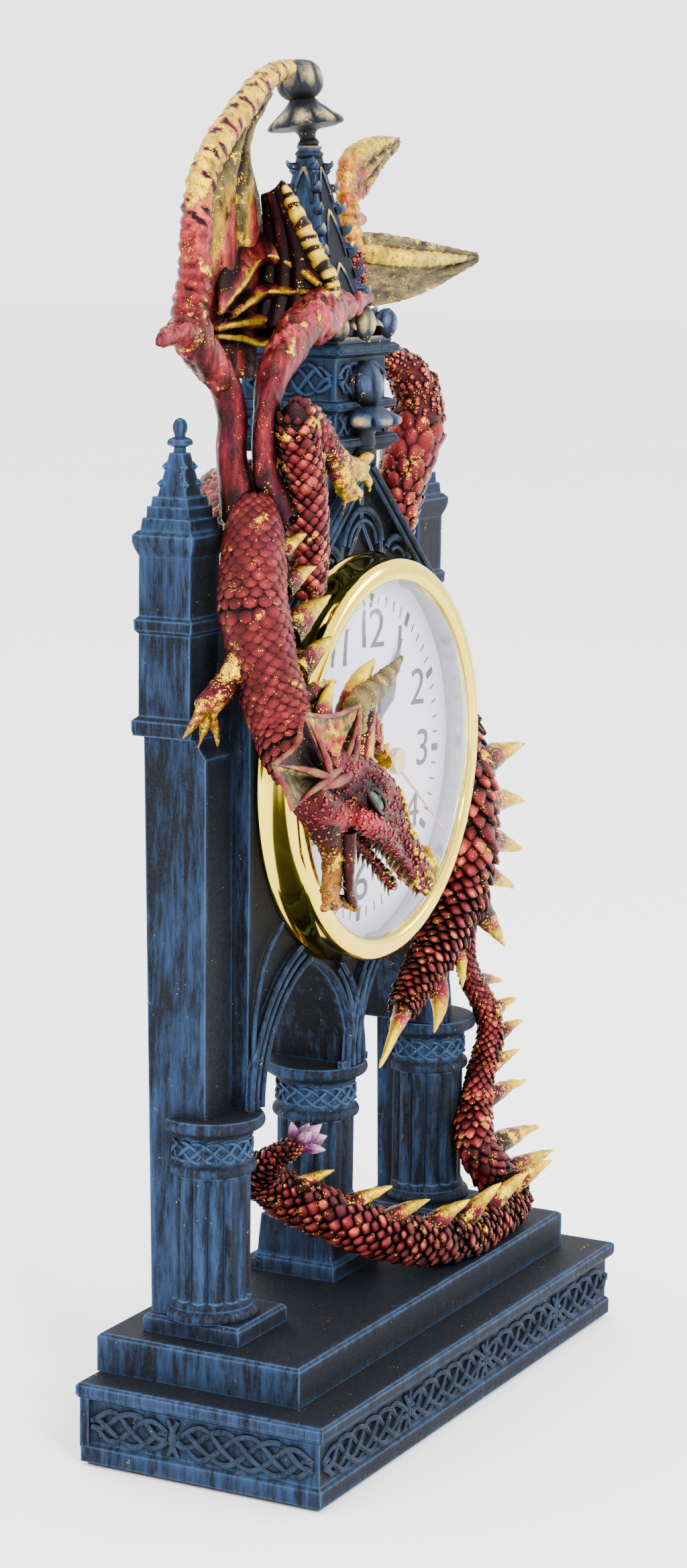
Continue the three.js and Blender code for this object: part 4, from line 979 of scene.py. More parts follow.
def scale_stamp(point: float) -> Stamp:
    """A scale that is round at the root and raised at the tip.

    Args:
        point: how wide its tip is: 1 for a round one and less for a pointed one.

    Returns:
        The scale, two units long and wide.
    """
    deselect()
    bpy.ops.mesh.primitive_uv_sphere_add(segments=10, ring_count=6, radius=1)
    obj = bpy.context.object
    points = coordinates(obj)
    ahead = np.clip(points[:, 1], 0, 1)
    points[:, 0] *= 1 - (1 - point) * ahead ** 1.5
    points[:, 1] *= 1 + (1 - point) * 0.25 * ahead
    points[:, 2] += 0.35 * ahead ** 2
    reshape(obj, points)
    return Stamp.of(obj, lambda p: 0.12 + 0.45 * np.clip(p[:, 2], 0, 1) + 0.3 * np.clip(p[:, 1], -1, 1))


def pebble_stamp() -> Stamp:
    """A low round bump."""
    deselect()
    bpy.ops.mesh.primitive_uv_sphere_add(segments=6, ring_count=4, radius=1)
    return Stamp.of(bpy.context.object, lambda p: 0.25 + 0.6 * np.clip(p[:, 2], 0, 1))


def thorn(root: Point, tip: Point, radius: float, bow: Point = (0, 0, 0),
          sides: int = 10) -> Piece:
    """A bowed spike, fluted a little, that rises from 0 at its root to 1 at its tip.

    Args:
        root: the middle of its foot.
        tip: its point.
        radius: the radius of its foot.
        bow: how far its middle is pushed aside.
        sides: faces round it.

    Returns:
        A closed mesh.
    """
    a, b, side = np.array(root, float), np.array(tip, float), np.array(bow, float)
    rows = [(0, 1), (0.25, 0.84), (0.5, 0.6), (0.75, 0.36), (0.92, 0.17), (1, 0.05)]
    stations = [[*(a + (b - a) * t + side * 4 * t * (1 - t)), radius * share] for t, share in rows]
    return Course(stations, step=0.9).tube(sides)


def lathe(profile: list, place: Matrix = Matrix(), steps: int = 64, closed: bool = False,
          lobes: int = 0, depth: float = 0.0, reach: tuple[float, float] = (0, 0),
          fade: float = 1.2) -> Piece:
    """Spins a profile of radius and height round an axis.

    Args:
        profile: points in mm, from one end of the axis to the other.
        place: where the spun shape goes, in mm.
        steps: how many steps the spin takes.
        closed: whether the profile is a loop, as a ring's is.
        lobes: how many lobes to press into its side, or 0.
        depth: how deep they go, as a share of the radius.
        reach: the heights between which they run.
        fade: how sharply they start and end.

    Returns:
        A closed mesh whose rise follows its height.
    """
    count = len(profile)
    edges = [(i, i + 1) for i in range(count - 1)] + ([(count - 1, 0)] if closed else [])
    obj = raw("profile", [(r, 0, z) for r, z in profile], edges, [])
    with editing(obj):
        bpy.ops.mesh.spin(steps=steps, angle=2 * math.pi, center=(0, 0, 0), axis=(0, 0, 1))
        bpy.ops.mesh.select_all(action="SELECT")
        bpy.ops.mesh.remove_doubles(threshold=0.003)
        bpy.ops.mesh.normals_make_consistent(inside=False)
    points = coordinates(obj)
    low, high = points[:, 2].min(), points[:, 2].max()
    mark_rise(obj, (points[:, 2] - low) / max(high - low, 1e-6))
    if lobes:
        angle = np.arctan2(points[:, 1], points[:, 0])
        middle = (reach[0] + reach[1]) / 2
        half = (reach[1] - reach[0]) / 2
        weight = np.clip(fade * (1 - np.abs(points[:, 2] - middle) / half), 0, 1)
        groove = np.abs(np.sin(angle * lobes / 2)) ** 0.6
        points[:, :2] *= (1 - depth * weight * (1 - groove))[:, None]
        mark_rise(obj, groove * weight * 0.6 + 0.4 * (points[:, 2] - low) / (high - low))
    return reshape(obj, carried(points, place))


def rounded(profile: list, count: int) -> list:
    """A profile drawn as one smooth line with more points."""
    rows = catmull([(r, z, 0.0) for r, z in profile], count)
    return [(max(float(r), 0.0), float(z)) for r, z, _ in rows]


def capped(profile: list) -> list:
    """A profile closed to its axis at both ends."""
    return [(0, profile[0][1]), *profile, (0, profile[-1][1])]


def web(rows: list, thickness: float, folds: float, across: int = 24, down: int = 30, *,
        rise: Callable[[np.ndarray, np.ndarray], np.ndarray]) -> Piece:
    """A thin skin through rows of points.

    Args:
        rows: rows of x, y, z points in mm.
        thickness: its thickness in mm.
        folds: how deep its folds are, in mm.
        across: how many points each row is drawn with.
        down: how many rows are drawn.
        rise: gives a rise from the share down and the share across.

    Returns:
        A closed mesh.
    """
    wide = [catmull(row, across) for row in rows]
    grid = np.stack([catmull([w[i] for w in wide], down) for i in range(across)], 1)
    u = np.repeat(np.linspace(0, 1, down), across)
    v = np.tile(np.linspace(0, 1, across), down)
    normal = np.cross(np.gradient(grid, axis=0), np.gradient(grid, axis=1))
    normal /= np.maximum(np.linalg.norm(normal, axis=2), 1e-6)[..., None]
    ripple = np.sin(2 * math.pi * (3.2 * v + 0.35 * u))
    wave = folds * ripple * np.sin(math.pi * v)
    points = grid.reshape(-1, 3) + normal.reshape(-1, 3) * wave[:, None]
    deselect()
    bpy.ops.mesh.primitive_grid_add(x_subdivisions=across - 1, y_subdivisions=down - 1, size=1)
    obj = reshape(bpy.context.object, points * MM)
    mark_rise(obj, rise(u, v) + 0.12 * ripple)
    modify(obj, "SOLIDIFY", thickness=thickness * MM, offset=0.0)
    modify(obj, "SUBSURF", levels=1, render_levels=1)
    return obj


def turn(x: float = 0, y: float = 0, z: float = 0) -> Matrix:
    """A turn by degrees about x, then y, then z."""
    return (Matrix.Rotation(math.radians(z), 4, "Z") @ Matrix.Rotation(math.radians(y), 4, "Y")
            @ Matrix.Rotation(math.radians(x), 4, "X"))


def at(x: float, y: float, z: float) -> Matrix:
    """A move in mm."""
    return Matrix.Translation((x, y, z))


FACE = at(0, 0, DIAL_HEIGHT) @ turn(x=90)


# The building


@dataclass(frozen=True)
class Band:
    """A flat band that carving is laid on: its middle, the way it runs and the way it faces."""

    middle: Point
    along: Point
    out: Point

    def spot(self, s: float, h: float, out: float) -> Point:
        """A place on the band.

        Args:
            s: how far along the band it lies, in mm.
            h: how far above its middle, in mm.
            out: how far in front of it, in mm.

        Returns:
            The place.
        """
        x, y, z = (m + a * s + o * out for m, a, o in zip(self.middle, self.along, self.out))
        return x, y, z + h


@dataclass
class Plait:
    """A four-strand plait that runs along a band and passes over and under itself."""

    start: float
    end: float
    reach: float
    wave: float
    radius: float = 0.55
    weave: float = 0.35

    def strands(self, spot: Callable[[float, float, float], Point]) -> list[Piece]:
        """Lays the plait's strands.

        Args:
            spot: gives a place from the way along a band, above its middle and in front of it.

        Returns:
            One tube a strand.
        """
        made = []
        count = max(int((self.end - self.start) / (self.wave / 14)), 8)
        for k in range(4):
            rows = []
            for i in range(count + 1):
                s = self.start + (self.end - self.start) * i / count
                turn_at = 2 * math.pi * (s - self.start) / self.wave + k * math.pi / 2 + math.pi / 4
                ends = min(1, 4 * min(s - self.start, self.end - s) / self.wave + 0.25)
                height = self.reach * math.sin(turn_at) * ends
                rows.append([*spot(s, height, self.weave * math.cos(3 * turn_at)), self.radius])
            made.append(mark_rise(Course(rows, step=self.wave / 16).tube(6), 0.8))
        return made


@dataclass
class Building:
    """The gothic building: dressed CAD masonry with its carving laid on."""

    frieze_front: float = 28.65
    frieze_side: float = 74.65
    frieze_middle: float = 9.7
    frieze_plait: tuple = (3.6, 24.6, 0.68)
    column_x: float = 52.5
    column_y: float = 10.5
    column_back: float = 15.95
    middle_y: float = 12.8
    drum: float = 8.8
    arch_centre: float = 22.4
    arch_span: float = 20.8
    arch_rise: float = 28
    springing: float = 75.6
    bezel_clear: float = 46.6
    wall_face: float = 4.1
    gable_top: float = 213.4
    gable_half: float = 47
    gable_fall: float = 41
    turret_y: float = 15.6
    turret_half: float = 11.9
    crown_top: float = 239.2
    spire_foot: Point = (9.2, 15.6, 241.2)
    spire_head: Point = (1.8, 17.3, 279.5)
    gable_cap: Point = (-1.2, 2.6, 213.5)

    def dress_nodes(self) -> None:
        """Gives the CAD masonry that stays its stone."""
        for name in ("plinth_slab", "plinth_step", "foot_plate_left", "foot_plate_right",
                     "foot_plate_middle", "pier_left", "pier_right", "tower_left", "tower_right",
                     "turret", "spire", "gable_mouldings", "arch_mouldings", "tower_roof_left",
                     "tower_roof_right"):
            dress(name, STONE)
        dress("clock_front", STONE_DARK)
        dress("felt_pad", FELT)

    def frieze(self) -> None:
        """Plaits in the plinth's recessed frieze, in groups parted by leaning bars."""
        front = Band((0, -self.frieze_front, self.frieze_middle), (1, 0, 0), (0, -1, 0))
        made: list[Piece] = []
        for start, end in ((-73, -35.5), (-33.5, 3.5), (5.5, 42.5), (44.5, 73.5)):
            made += Plait(start, end, *self.frieze_plait).strands(front.spot)
        for x in (-34.5, 4.5, 43.5):
            made += self.leaning_bars(front, x, 1.3)
        for side in (-1, 1):
            band = Band((side * self.frieze_side, 0, self.frieze_middle), (0, 1, 0), (side, 0, 0))
            for start, end in ((-27, 5.5), (7.5, 26.5)):
                made += Plait(start, end, *self.frieze_plait).strands(band.spot)
            made += self.leaning_bars(band, 6.5, 1.2)
        present(merge(made), "frieze_plaits", KNOT)

    def leaning_bars(self, band: Band, s: float, spread: float) -> list[Piece]:
        """Two bent bars that part the frieze's plaits.

        Args:
            band: the frieze's band.
            s: where they stand along it.
            spread: how far their ends lean apart.

        Returns:
            The bars.
        """
        return [Course([[*band.spot(s - lean * spread, -4, 0.05), 0.55],
                        [*band.spot(s + lean * 0.4, 0, 0.25), 0.7],
                        [*band.spot(s - lean * spread, 4, 0.05), 0.55]], 0.8).tube(6) for lean in (-1, 1)]

    def column(self, name: str, x: float, y: float, bottom: float) -> None:
        """A fluted column with its torus, carved capital and rings.

        Args:
            name: the CAD node that it stands for.
            x: its axis, across.
            y: its axis, front to back.
            bottom: the height of its foot.
        """
        place = at(x, y, 0)
        fluted = [(8.75, z) for z in np.linspace(bottom + 5, 62.5, 14)]
        shaft = lathe([(0, bottom + 2), (8.9, bottom + 2), (8.9, bottom + 4.5), *fluted, (8.9, 63.6),
                       (8.9, 64.5), (0, 64.5)], place, 168, lobes=14, depth=0.13,
                      reach=(bottom + 3.4, 63.2), fade=14)
        foot = rounded([(10.4, bottom), (10.8, bottom + 1), (10.3, bottom + 2), (9.3, bottom + 2.4),
                        (9.4, bottom + 3), (9.2, bottom + 3.8), (8.7, bottom + 4.1)], 16)
        head = rounded([
            (8.8, 62.8), (9.7, 63.2), (10, 64), (9.7, 64.9), (8.9, 65.4), (8.7, 66.5), (8.7, 70.6),
            (9.1, 71.6), (10.2, 72.4), (11.4, 73.1), (11.8, 74), (11.6, 74.9), (11.2, 75.5)], 40)
        drum = self.drum
        girth = 2 * math.pi * drum
        carving = Plait(0, girth, 2.1, girth / 4, 0.42, 0.25).strands(
            lambda s, h, out: (x + (drum + out) * math.cos(s / drum), y + (drum + out) * math.sin(s / drum),
                               68.5 + h))
        whole = merge([shaft, lathe(capped(foot), place, 72), lathe(capped(head), place, 72), *carving])
        if name != "column_middle":
            flatten_back(whole, self.column_back)
        present(whole, name + "_fluted", STONE, (name,))

    def arch_beads(self) -> None:
        """Round mouldings over the flat bands of both arches and between them."""
        made = []
        face = self.wall_face - 1.4
        for centre in (-self.arch_centre, self.arch_centre):
            for grow, radius in ((0.6, 0.75), (3, 0.6), (5.3, 0.75)):
                made += self.pointed_arch(centre, grow, radius)
        for side in (-1, 1):
            rows = [[side * 1.2, face + 0.2, 80, 0.6], [side * 2.2, face, 87, 0.6],
                    [side * 5.4, face, 95, 0.6], [side * 9.5, face, 99.4, 0.55]]
            made.append(Course(rows, 1).tube(8))
            rows = [[side * 47, face + 0.6, 84, 0.6], [side * 46.6, face + 0.4, 96, 0.6],
                    [side * 42.5, face + 0.2, 108, 0.6], [side * 35, face + 0.2, 114.5, 0.5]]
            made.append(Course(rows, 1).tube(8))
        present(merge(made), "arch_beads", SHADED_TRACERY)

    def pointed_arch(self, centre: float, grow: float, radius: float) -> list[Piece]:
        """One pointed arch of bead, from springing to springing, clear of the bezel.

        Args:
            centre: the arch's middle, across.
            grow: how far it lies outside the opening.
            radius: the bead's radius.

        Returns:
            The arch's two halves.
        """
        halves = []
        span, rise = self.arch_span + grow, self.arch_rise + grow
        bend = (span * span + rise * rise) / (2 * span)
        sweep = math.asin(rise / bend)
        for side in (-1, 1):
            rows = []
            for i in range(15):
                a = sweep * i / 14
                x = centre + side * (span - bend + bend * math.cos(a))
                z = self.springing + bend * math.sin(a)
                if abs(x) < 50 and math.hypot(x, z - DIAL_HEIGHT) > self.bezel_clear + radius:
                    rows.append([x, self.wall_face - 1.3, z, radius])
            if len(rows) > 3:
                halves.append(Course(rows, 1.2).tube(8))
        return halves

    def gable_beads(self) -> None:
        """Round mouldings on the gable's bands and its three lobed arches."""
        made = []
        for side in (-1, 1):
            for drop, radius, lift in ((0.7, 0.8, 2.4), (3.4, 0.6, 2.3)):
                rows = [[side * t * self.gable_half, self.wall_face - lift,
                         self.gable_top - drop - t * self.gable_fall, radius]
                        for t in np.linspace(0.04, 1, 12)]
                made.append(Course(rows, 2).tube(8))
        for x, z, radius in ((0, 192.2, 9.4), (-16.4, 187.4, 6.9), (16.4, 187.4, 6.9)):
            made += self.lobe(x, z, radius, 0.75) + self.lobe(x, z, radius - 2.6, 0.5)
        present(merge(made), "gable_beads", SHADED_TRACERY)

    def lobe(self, x: float, z: float, radius: float, thick: float) -> list[Piece]:
        """A round lobe of bead over the dial, clear of the bezel.

        Args:
            x: its middle, across.
            z: its middle's height.
            radius: its radius.
            thick: the bead's radius.

        Returns:
            The bead, in a list that is empty where nothing of it is clear.
        """
        rows = []
        for a in np.radians(np.linspace(-20, 200, 15)):
            px, pz = x + radius * math.cos(a), z + radius * math.sin(a)
            if math.hypot(px, pz - DIAL_HEIGHT) > self.bezel_clear + 0.1 + thick:
                rows.append([px, self.wall_face - 1.2, pz, thick])
        return [Course(rows, 1).tube(8)] if len(rows) > 3 else []

    def turret_carving(self) -> None:
        """The turret's knot band, the crossed band under it, and beads along its cornices."""
        made = []
        y, half, cross = self.turret_y, self.turret_half, 22 / 6
        for out in ((0, -1, 0), (-1, 0, 0), (1, 0, 0), (0, 1, 0)):
            middle, along = (out[0] * half, y + out[1] * half), (-out[1], out[0], 0)
            made += Plait(-10.6, 10.6, 3.4, 17.6, 0.5, 0.3).strands(Band((*middle, 230.2), along, out).spot)
            spot = Band((*middle, 220.4), along, out).spot
            for i in range(6):
                left = -11 + i * cross
                for lean in (0, 1):
                    rows = [[*spot(left + lean * cross, -2.1, 0.2), 0.42],
                            [*spot(left + cross / 2, 0, 0.45), 0.42],
                            [*spot(left + (1 - lean) * cross, 2.1, 0.2), 0.42]]
                    made.append(Course(rows, 0.9).tube(6))
        for corner, z, radius in ((13.65, 216.4, 0.9), (13.2, 224.5, 0.75), (13.7, 236.6, 0.75)):
            loop = np.array([(-1, -1), (1, -1), (1, 1), (-1, 1), (-1, -1)]) * corner + (0, y)
            for a, b in zip(loop, loop[1:]):
                rows = [[*(a + (b - a) * t), z, radius] for t in (0, 0.25, 0.5, 0.75, 1)]
                made.append(Course(rows, 3).tube(8))
        present(merge(made), "turret_carving", SHADED_TRACERY)

    def crown(self) -> None:
        """Buds and curled leaves round the foot of the spire."""
        buds, leaves = [], []
        y, top = self.turret_y, self.crown_top
        dice = random.Random(11)
        shape = rounded([(0.2, -0.6), (1.6, -0.4), (2.7, 1), (3.1, 2.6), (2.7, 4.2), (1.5, 5.6),
                         (0.1, 6.3)], 22)
        for sx, sy, pile in ((-1, -1, buds), (0, -1, buds), (1, -1, leaves), (1, 0, buds),
                             (1, 1, buds), (0, 1, leaves), (-1, 1, buds), (-1, 0, leaves)):
            size = 1.0 if sx and sy else 1.15
            place = at(sx * 11, y + sy * 11, top) @ turn(x=-12 * sy, y=12 * sx)
            pile.append(lathe(capped([(r * size, z * size) for r, z in shape]), place, 40, lobes=6,
                              depth=0.22, reach=(0, 6 * size)))
        for sx, sy in ((-1, -0.45), (-0.45, -1), (0.5, -1), (1, -0.5), (1, 0.5), (0.5, 1), (-0.5, 1),
                       (-1, 0.5)):
            root = (sx * 9.6, y + sy * 9.6, top + 0.4)
            tip = (sx * 13.6, y + sy * 13.6, top + 1.2 + dice.uniform(0, 1))
            leaves.append(thorn(root, tip, 2, (0, 0, 1.6)))
        plate = lathe([(0, 237.8), (12.9, 237.8), (13.1, 238.5), (12.6, 239.3), (0, 239.3)],
                      at(0, y, 0) @ turn(z=45), 4)
        leaves.append(widen(plate, 0, y, 1.38))
        present(merge(leaves), "crown_leaves", LEAF, ("crown_of_buds",))
        present(merge(buds), "crown_buds", CREAM)

    def spire_at(self, t: float) -> Point:
        """The spire's half width, its axis' y and its height, a share t of the way up."""
        return tuple(foot + (head - foot) * t for foot, head in zip(self.spire_foot, self.spire_head))

    def spire_work(self) -> None:
        """Crockets up the spire's corners and pointed panels on its faces."""
        made = []
        for t in np.linspace(0.06, 0.9, 8):
            half, y, z = self.spire_at(t)
            size = 1.5 - 0.5 * t
            for sx, sy in ((-1, -1), (1, -1), (1, 1), (-1, 1)):
                root = (sx * (half - 0.4), y + sy * (half - 0.4), z)
                tip = (sx * (half + size), y + sy * (half + size), z + 1.6 * size)
                made.append(thorn(root, tip, 1.05 * size, (sx * 0.5, sy * 0.5, -0.3)))
        for sx, sy in ((0, -1), (1, 0), (0, 1), (-1, 0)):
            for t0, t1 in ((0.04, 0.36), (0.4, 0.66), (0.7, 0.9)):
                for lean in (-1, 1):
                    rows = []
                    for u in np.linspace(0, 1, 7):
                        half, y, z = self.spire_at(t0 + (t1 - t0) * u)
                        wide = lean * half * 0.62 * math.cos(u * math.pi / 2) ** 0.6
                        rows.append([sx * (half + 0.1) + (wide if sx == 0 else 0),
                                     y + sy * (half + 0.1) + (wide if sy == 0 else 0), z, 0.45])
                    made.append(Course(rows, 1).tube(6))
        collar = rounded([(0.1, 277.5), (2.6, 277.8), (3.2, 278.6), (2.5, 279.4), (2.9, 280.2),
                          (0.1, 280.4)], 20)
        made.append(lathe(collar, at(0, self.spire_head[1], 0), 32))
        present(merge(made), "spire_work", LEAF)

    def finials(self) -> None:
        """The leaf-capped finials of the spire and of the gable's apex."""
        lean = at(0, *self.spire_head[1:]) @ turn(x=-10)
        skirt = rounded([(0.1, 0.35), (1.9, 0.5), (2.4, 1.4), (1.8, 2.4), (2.3, 3.9), (5.4, 4.6), (8.4, 5.1),
                         (8.3, 6), (6, 7.9), (3.8, 9.8), (2.7, 11), (0.1, 11.4)], 46)
        cap = lathe(capped(skirt), lean, 96, lobes=8, depth=0.16, reach=(3.6, 9.5))
        bud = rounded([(0.1, 10.6), (2.6, 10.9), (4.6, 12.4), (5.3, 14.6), (4.9, 17), (3.2, 18.9),
                       (0.1, 19.8)], 30)
        top = lathe(capped(bud), lean, 72, lobes=7, depth=0.14, reach=(11, 19.5))
        present(merge([cap, top]), "spire_cap", ASH, ("spire_finial",))
        seat = at(*self.gable_cap)
        stem = rounded([(0.1, 0), (2, 0.1), (2.5, 0.9), (2, 1.8), (2.3, 2.5), (2.2, 4.9), (3, 5.8),
                        (6.5, 7), (6.7, 8.3), (4.6, 9.8), (2.8, 10.9), (0.1, 11.2)], 40)
        lower = lathe(capped(stem), seat, 72, lobes=8, depth=0.2, reach=(5.2, 10))
        ball = rounded([(0.1, 10.6), (1.9, 10.9), (3.2, 12.4), (3.8, 14.9), (3.3, 17.6), (1.9, 19.7),
                        (0.1, 20.8)], 26)
        upper = lathe(capped(ball), seat, 60, lobes=6, depth=0.18, reach=(11, 20))
        whole = widen(merge([lower, upper]), *self.gable_cap[:2], 1.28)
        present(whole, "gable_cap", LEAF, ("gable_finial",))

    def build(self) -> None:
        """Makes the whole building."""
        self.dress_nodes()
        self.frieze()
        for name, x, y, bottom in (("column_left", -self.column_x, self.column_y, 31),
                                   ("column_right", self.column_x, self.column_y, 31),
                                   ("column_middle", 0, self.middle_y, 40)):
            self.column(name, x, y, bottom)
        self.arch_beads()
        self.gable_beads()
        self.turret_carving()
        self.crown()
        self.spire_work()
        self.finials()


# The clock insert


@dataclass
class Insert:
    """The quartz insert: bezel, glass, ring, printed dial, and the works behind."""

    block_radius: float = 34.9
    minute_stroke: Point = (0.42, 2.3, 1)
    five_minute_block: Point = (1.7, 3.2, 1)
    numeral_radius: float = 28.3
    numeral_size: float = 9.2
    numeral_stretch: Point = (1.72, 1.3, 1)
    numeral_gap: float = 0.76
    ink: float = 0.05
    dial_turn: float = 3.6
    dial_face: float = -1.5

    def dress_nodes(self) -> None:
        """Gives the insert's CAD nodes their metals, plastics and card."""
        for finish, names in (
                (PAPER, ("dial",)),
                (BLACK_PLASTIC, ("insert_cup", "back_cover", "battery_door", "set_knob")),
                (WHITE_PLASTIC, ("motion_wheel", "third_wheel", "train_plate")),
                (BRASS, ("hour_wheel", "minute_wheel")), (STEEL, ("battery_contact", "second_arbor")),
                (BOARD, ("coil_and_board",)), (CELL, ("battery_cell",)),
                (HAND_GREY, ("hour_hand", "minute_hand")), (HAND_RED, ("second_hand",))):
            for name in names:
                dress(name, finish)

    def rings(self) -> None:
        """Bezel, lens and inner ring, spun fine."""
        bezel = rounded([
            (42.4, -4), (44.2, -4), (45.7, -3.95), (45.9, -3.3), (45.3, -2.4), (44.9, -1.4), (44.9, 1.5),
            (45, 3.4), (44.7, 4.9), (43.6, 5.7), (42, 5.9), (40.6, 5.7), (40.05, 5.2), (40, 4.9)],
            56) + [(42.4, 4.9)]
        present(lathe(bezel, FACE, 160, closed=True), "bezel_rim", GILT, ("bezel",), smooth=35)
        lens = rounded([(0.5, 9.7), (14, 9.3), (27.4, 8.1), (35.3, 7), (39.4, 5.4)], 22)
        lens += [(40, 4.7), (42.1, 4.6), (42.1, 3.5), (39.9, 3.5)]
        lens += rounded([(38.6, 4.9), (35, 5.9), (27, 7), (14, 8.2), (0.5, 8.6)], 22)
        present(lathe(capped(lens), FACE, 120), "lens_dome", LENS, ("lens",), smooth=35)
        ring = rounded([(40.7, -1.5), (41.1, 0.6), (41.1, 3.4)], 10) + [(42.1, 3.4), (42.1, -1.5)]
        present(lathe(ring, FACE, 120, closed=True), "dial_wall", SILVER, ("inner_ring",), smooth=35)
        cap = rounded([(0.1, 5.3), (2.9, 5.3), (3, 6.2), (2.7, 6.85), (1.6, 6.98), (0.1, 7)], 20)
        present(lathe(capped(cap), FACE, 48), "centre_cap", CAP_GOLD, body=Body.SECOND)

    def print_dial(self) -> None:
        """Minute strokes, five-minute blocks and numerals, a hair proud of the card."""
        made = []
        for minute in range(60):
            deselect()
            bpy.ops.mesh.primitive_plane_add(size=1)
            obj = bpy.context.object
            obj.scale = self.minute_stroke if minute % 5 else self.five_minute_block
            modify(settle(obj), "SOLIDIFY", thickness=self.ink, offset=1)
            seat = at(0, self.block_radius, self.dial_face + 0.005)
            place = FACE @ turn(z=-self.dial_turn - minute * 6) @ seat
            made.append(reshape(obj, carried(coordinates(obj), place)))
        for hour in range(1, 13):
            deselect()
            bpy.ops.object.text_add()
            text = bpy.context.object.data
            text.body, text.align_x, text.align_y = str(hour), "CENTER", "CENTER"
            text.size, text.extrude = self.numeral_size, self.ink / 2
            text.space_character = self.numeral_gap
            bpy.ops.object.convert(target="MESH")
            obj = bpy.context.object
            angle = math.radians(hour * 30 + self.dial_turn)
            place = FACE @ at(self.numeral_radius * math.sin(angle), self.numeral_radius * math.cos(angle),
                              self.dial_face + 0.035) @ turn(z=-self.dial_turn)
            reshape(obj, carried(coordinates(obj) * self.numeral_stretch, place))
            made.append(weld(obj, 0.001))
        present(merge(made), "dial_print", INK, smooth=10)

    def build(self) -> None:
        """Makes the whole insert."""
        self.dress_nodes()
        self.rings()
        self.print_dial()


# The dragon


class Coat(Enum):
    """The two kinds of scales: round overlapping shells and rougher pointed leaves."""

    SHELL = "shell"
    LEAF = "leaf"


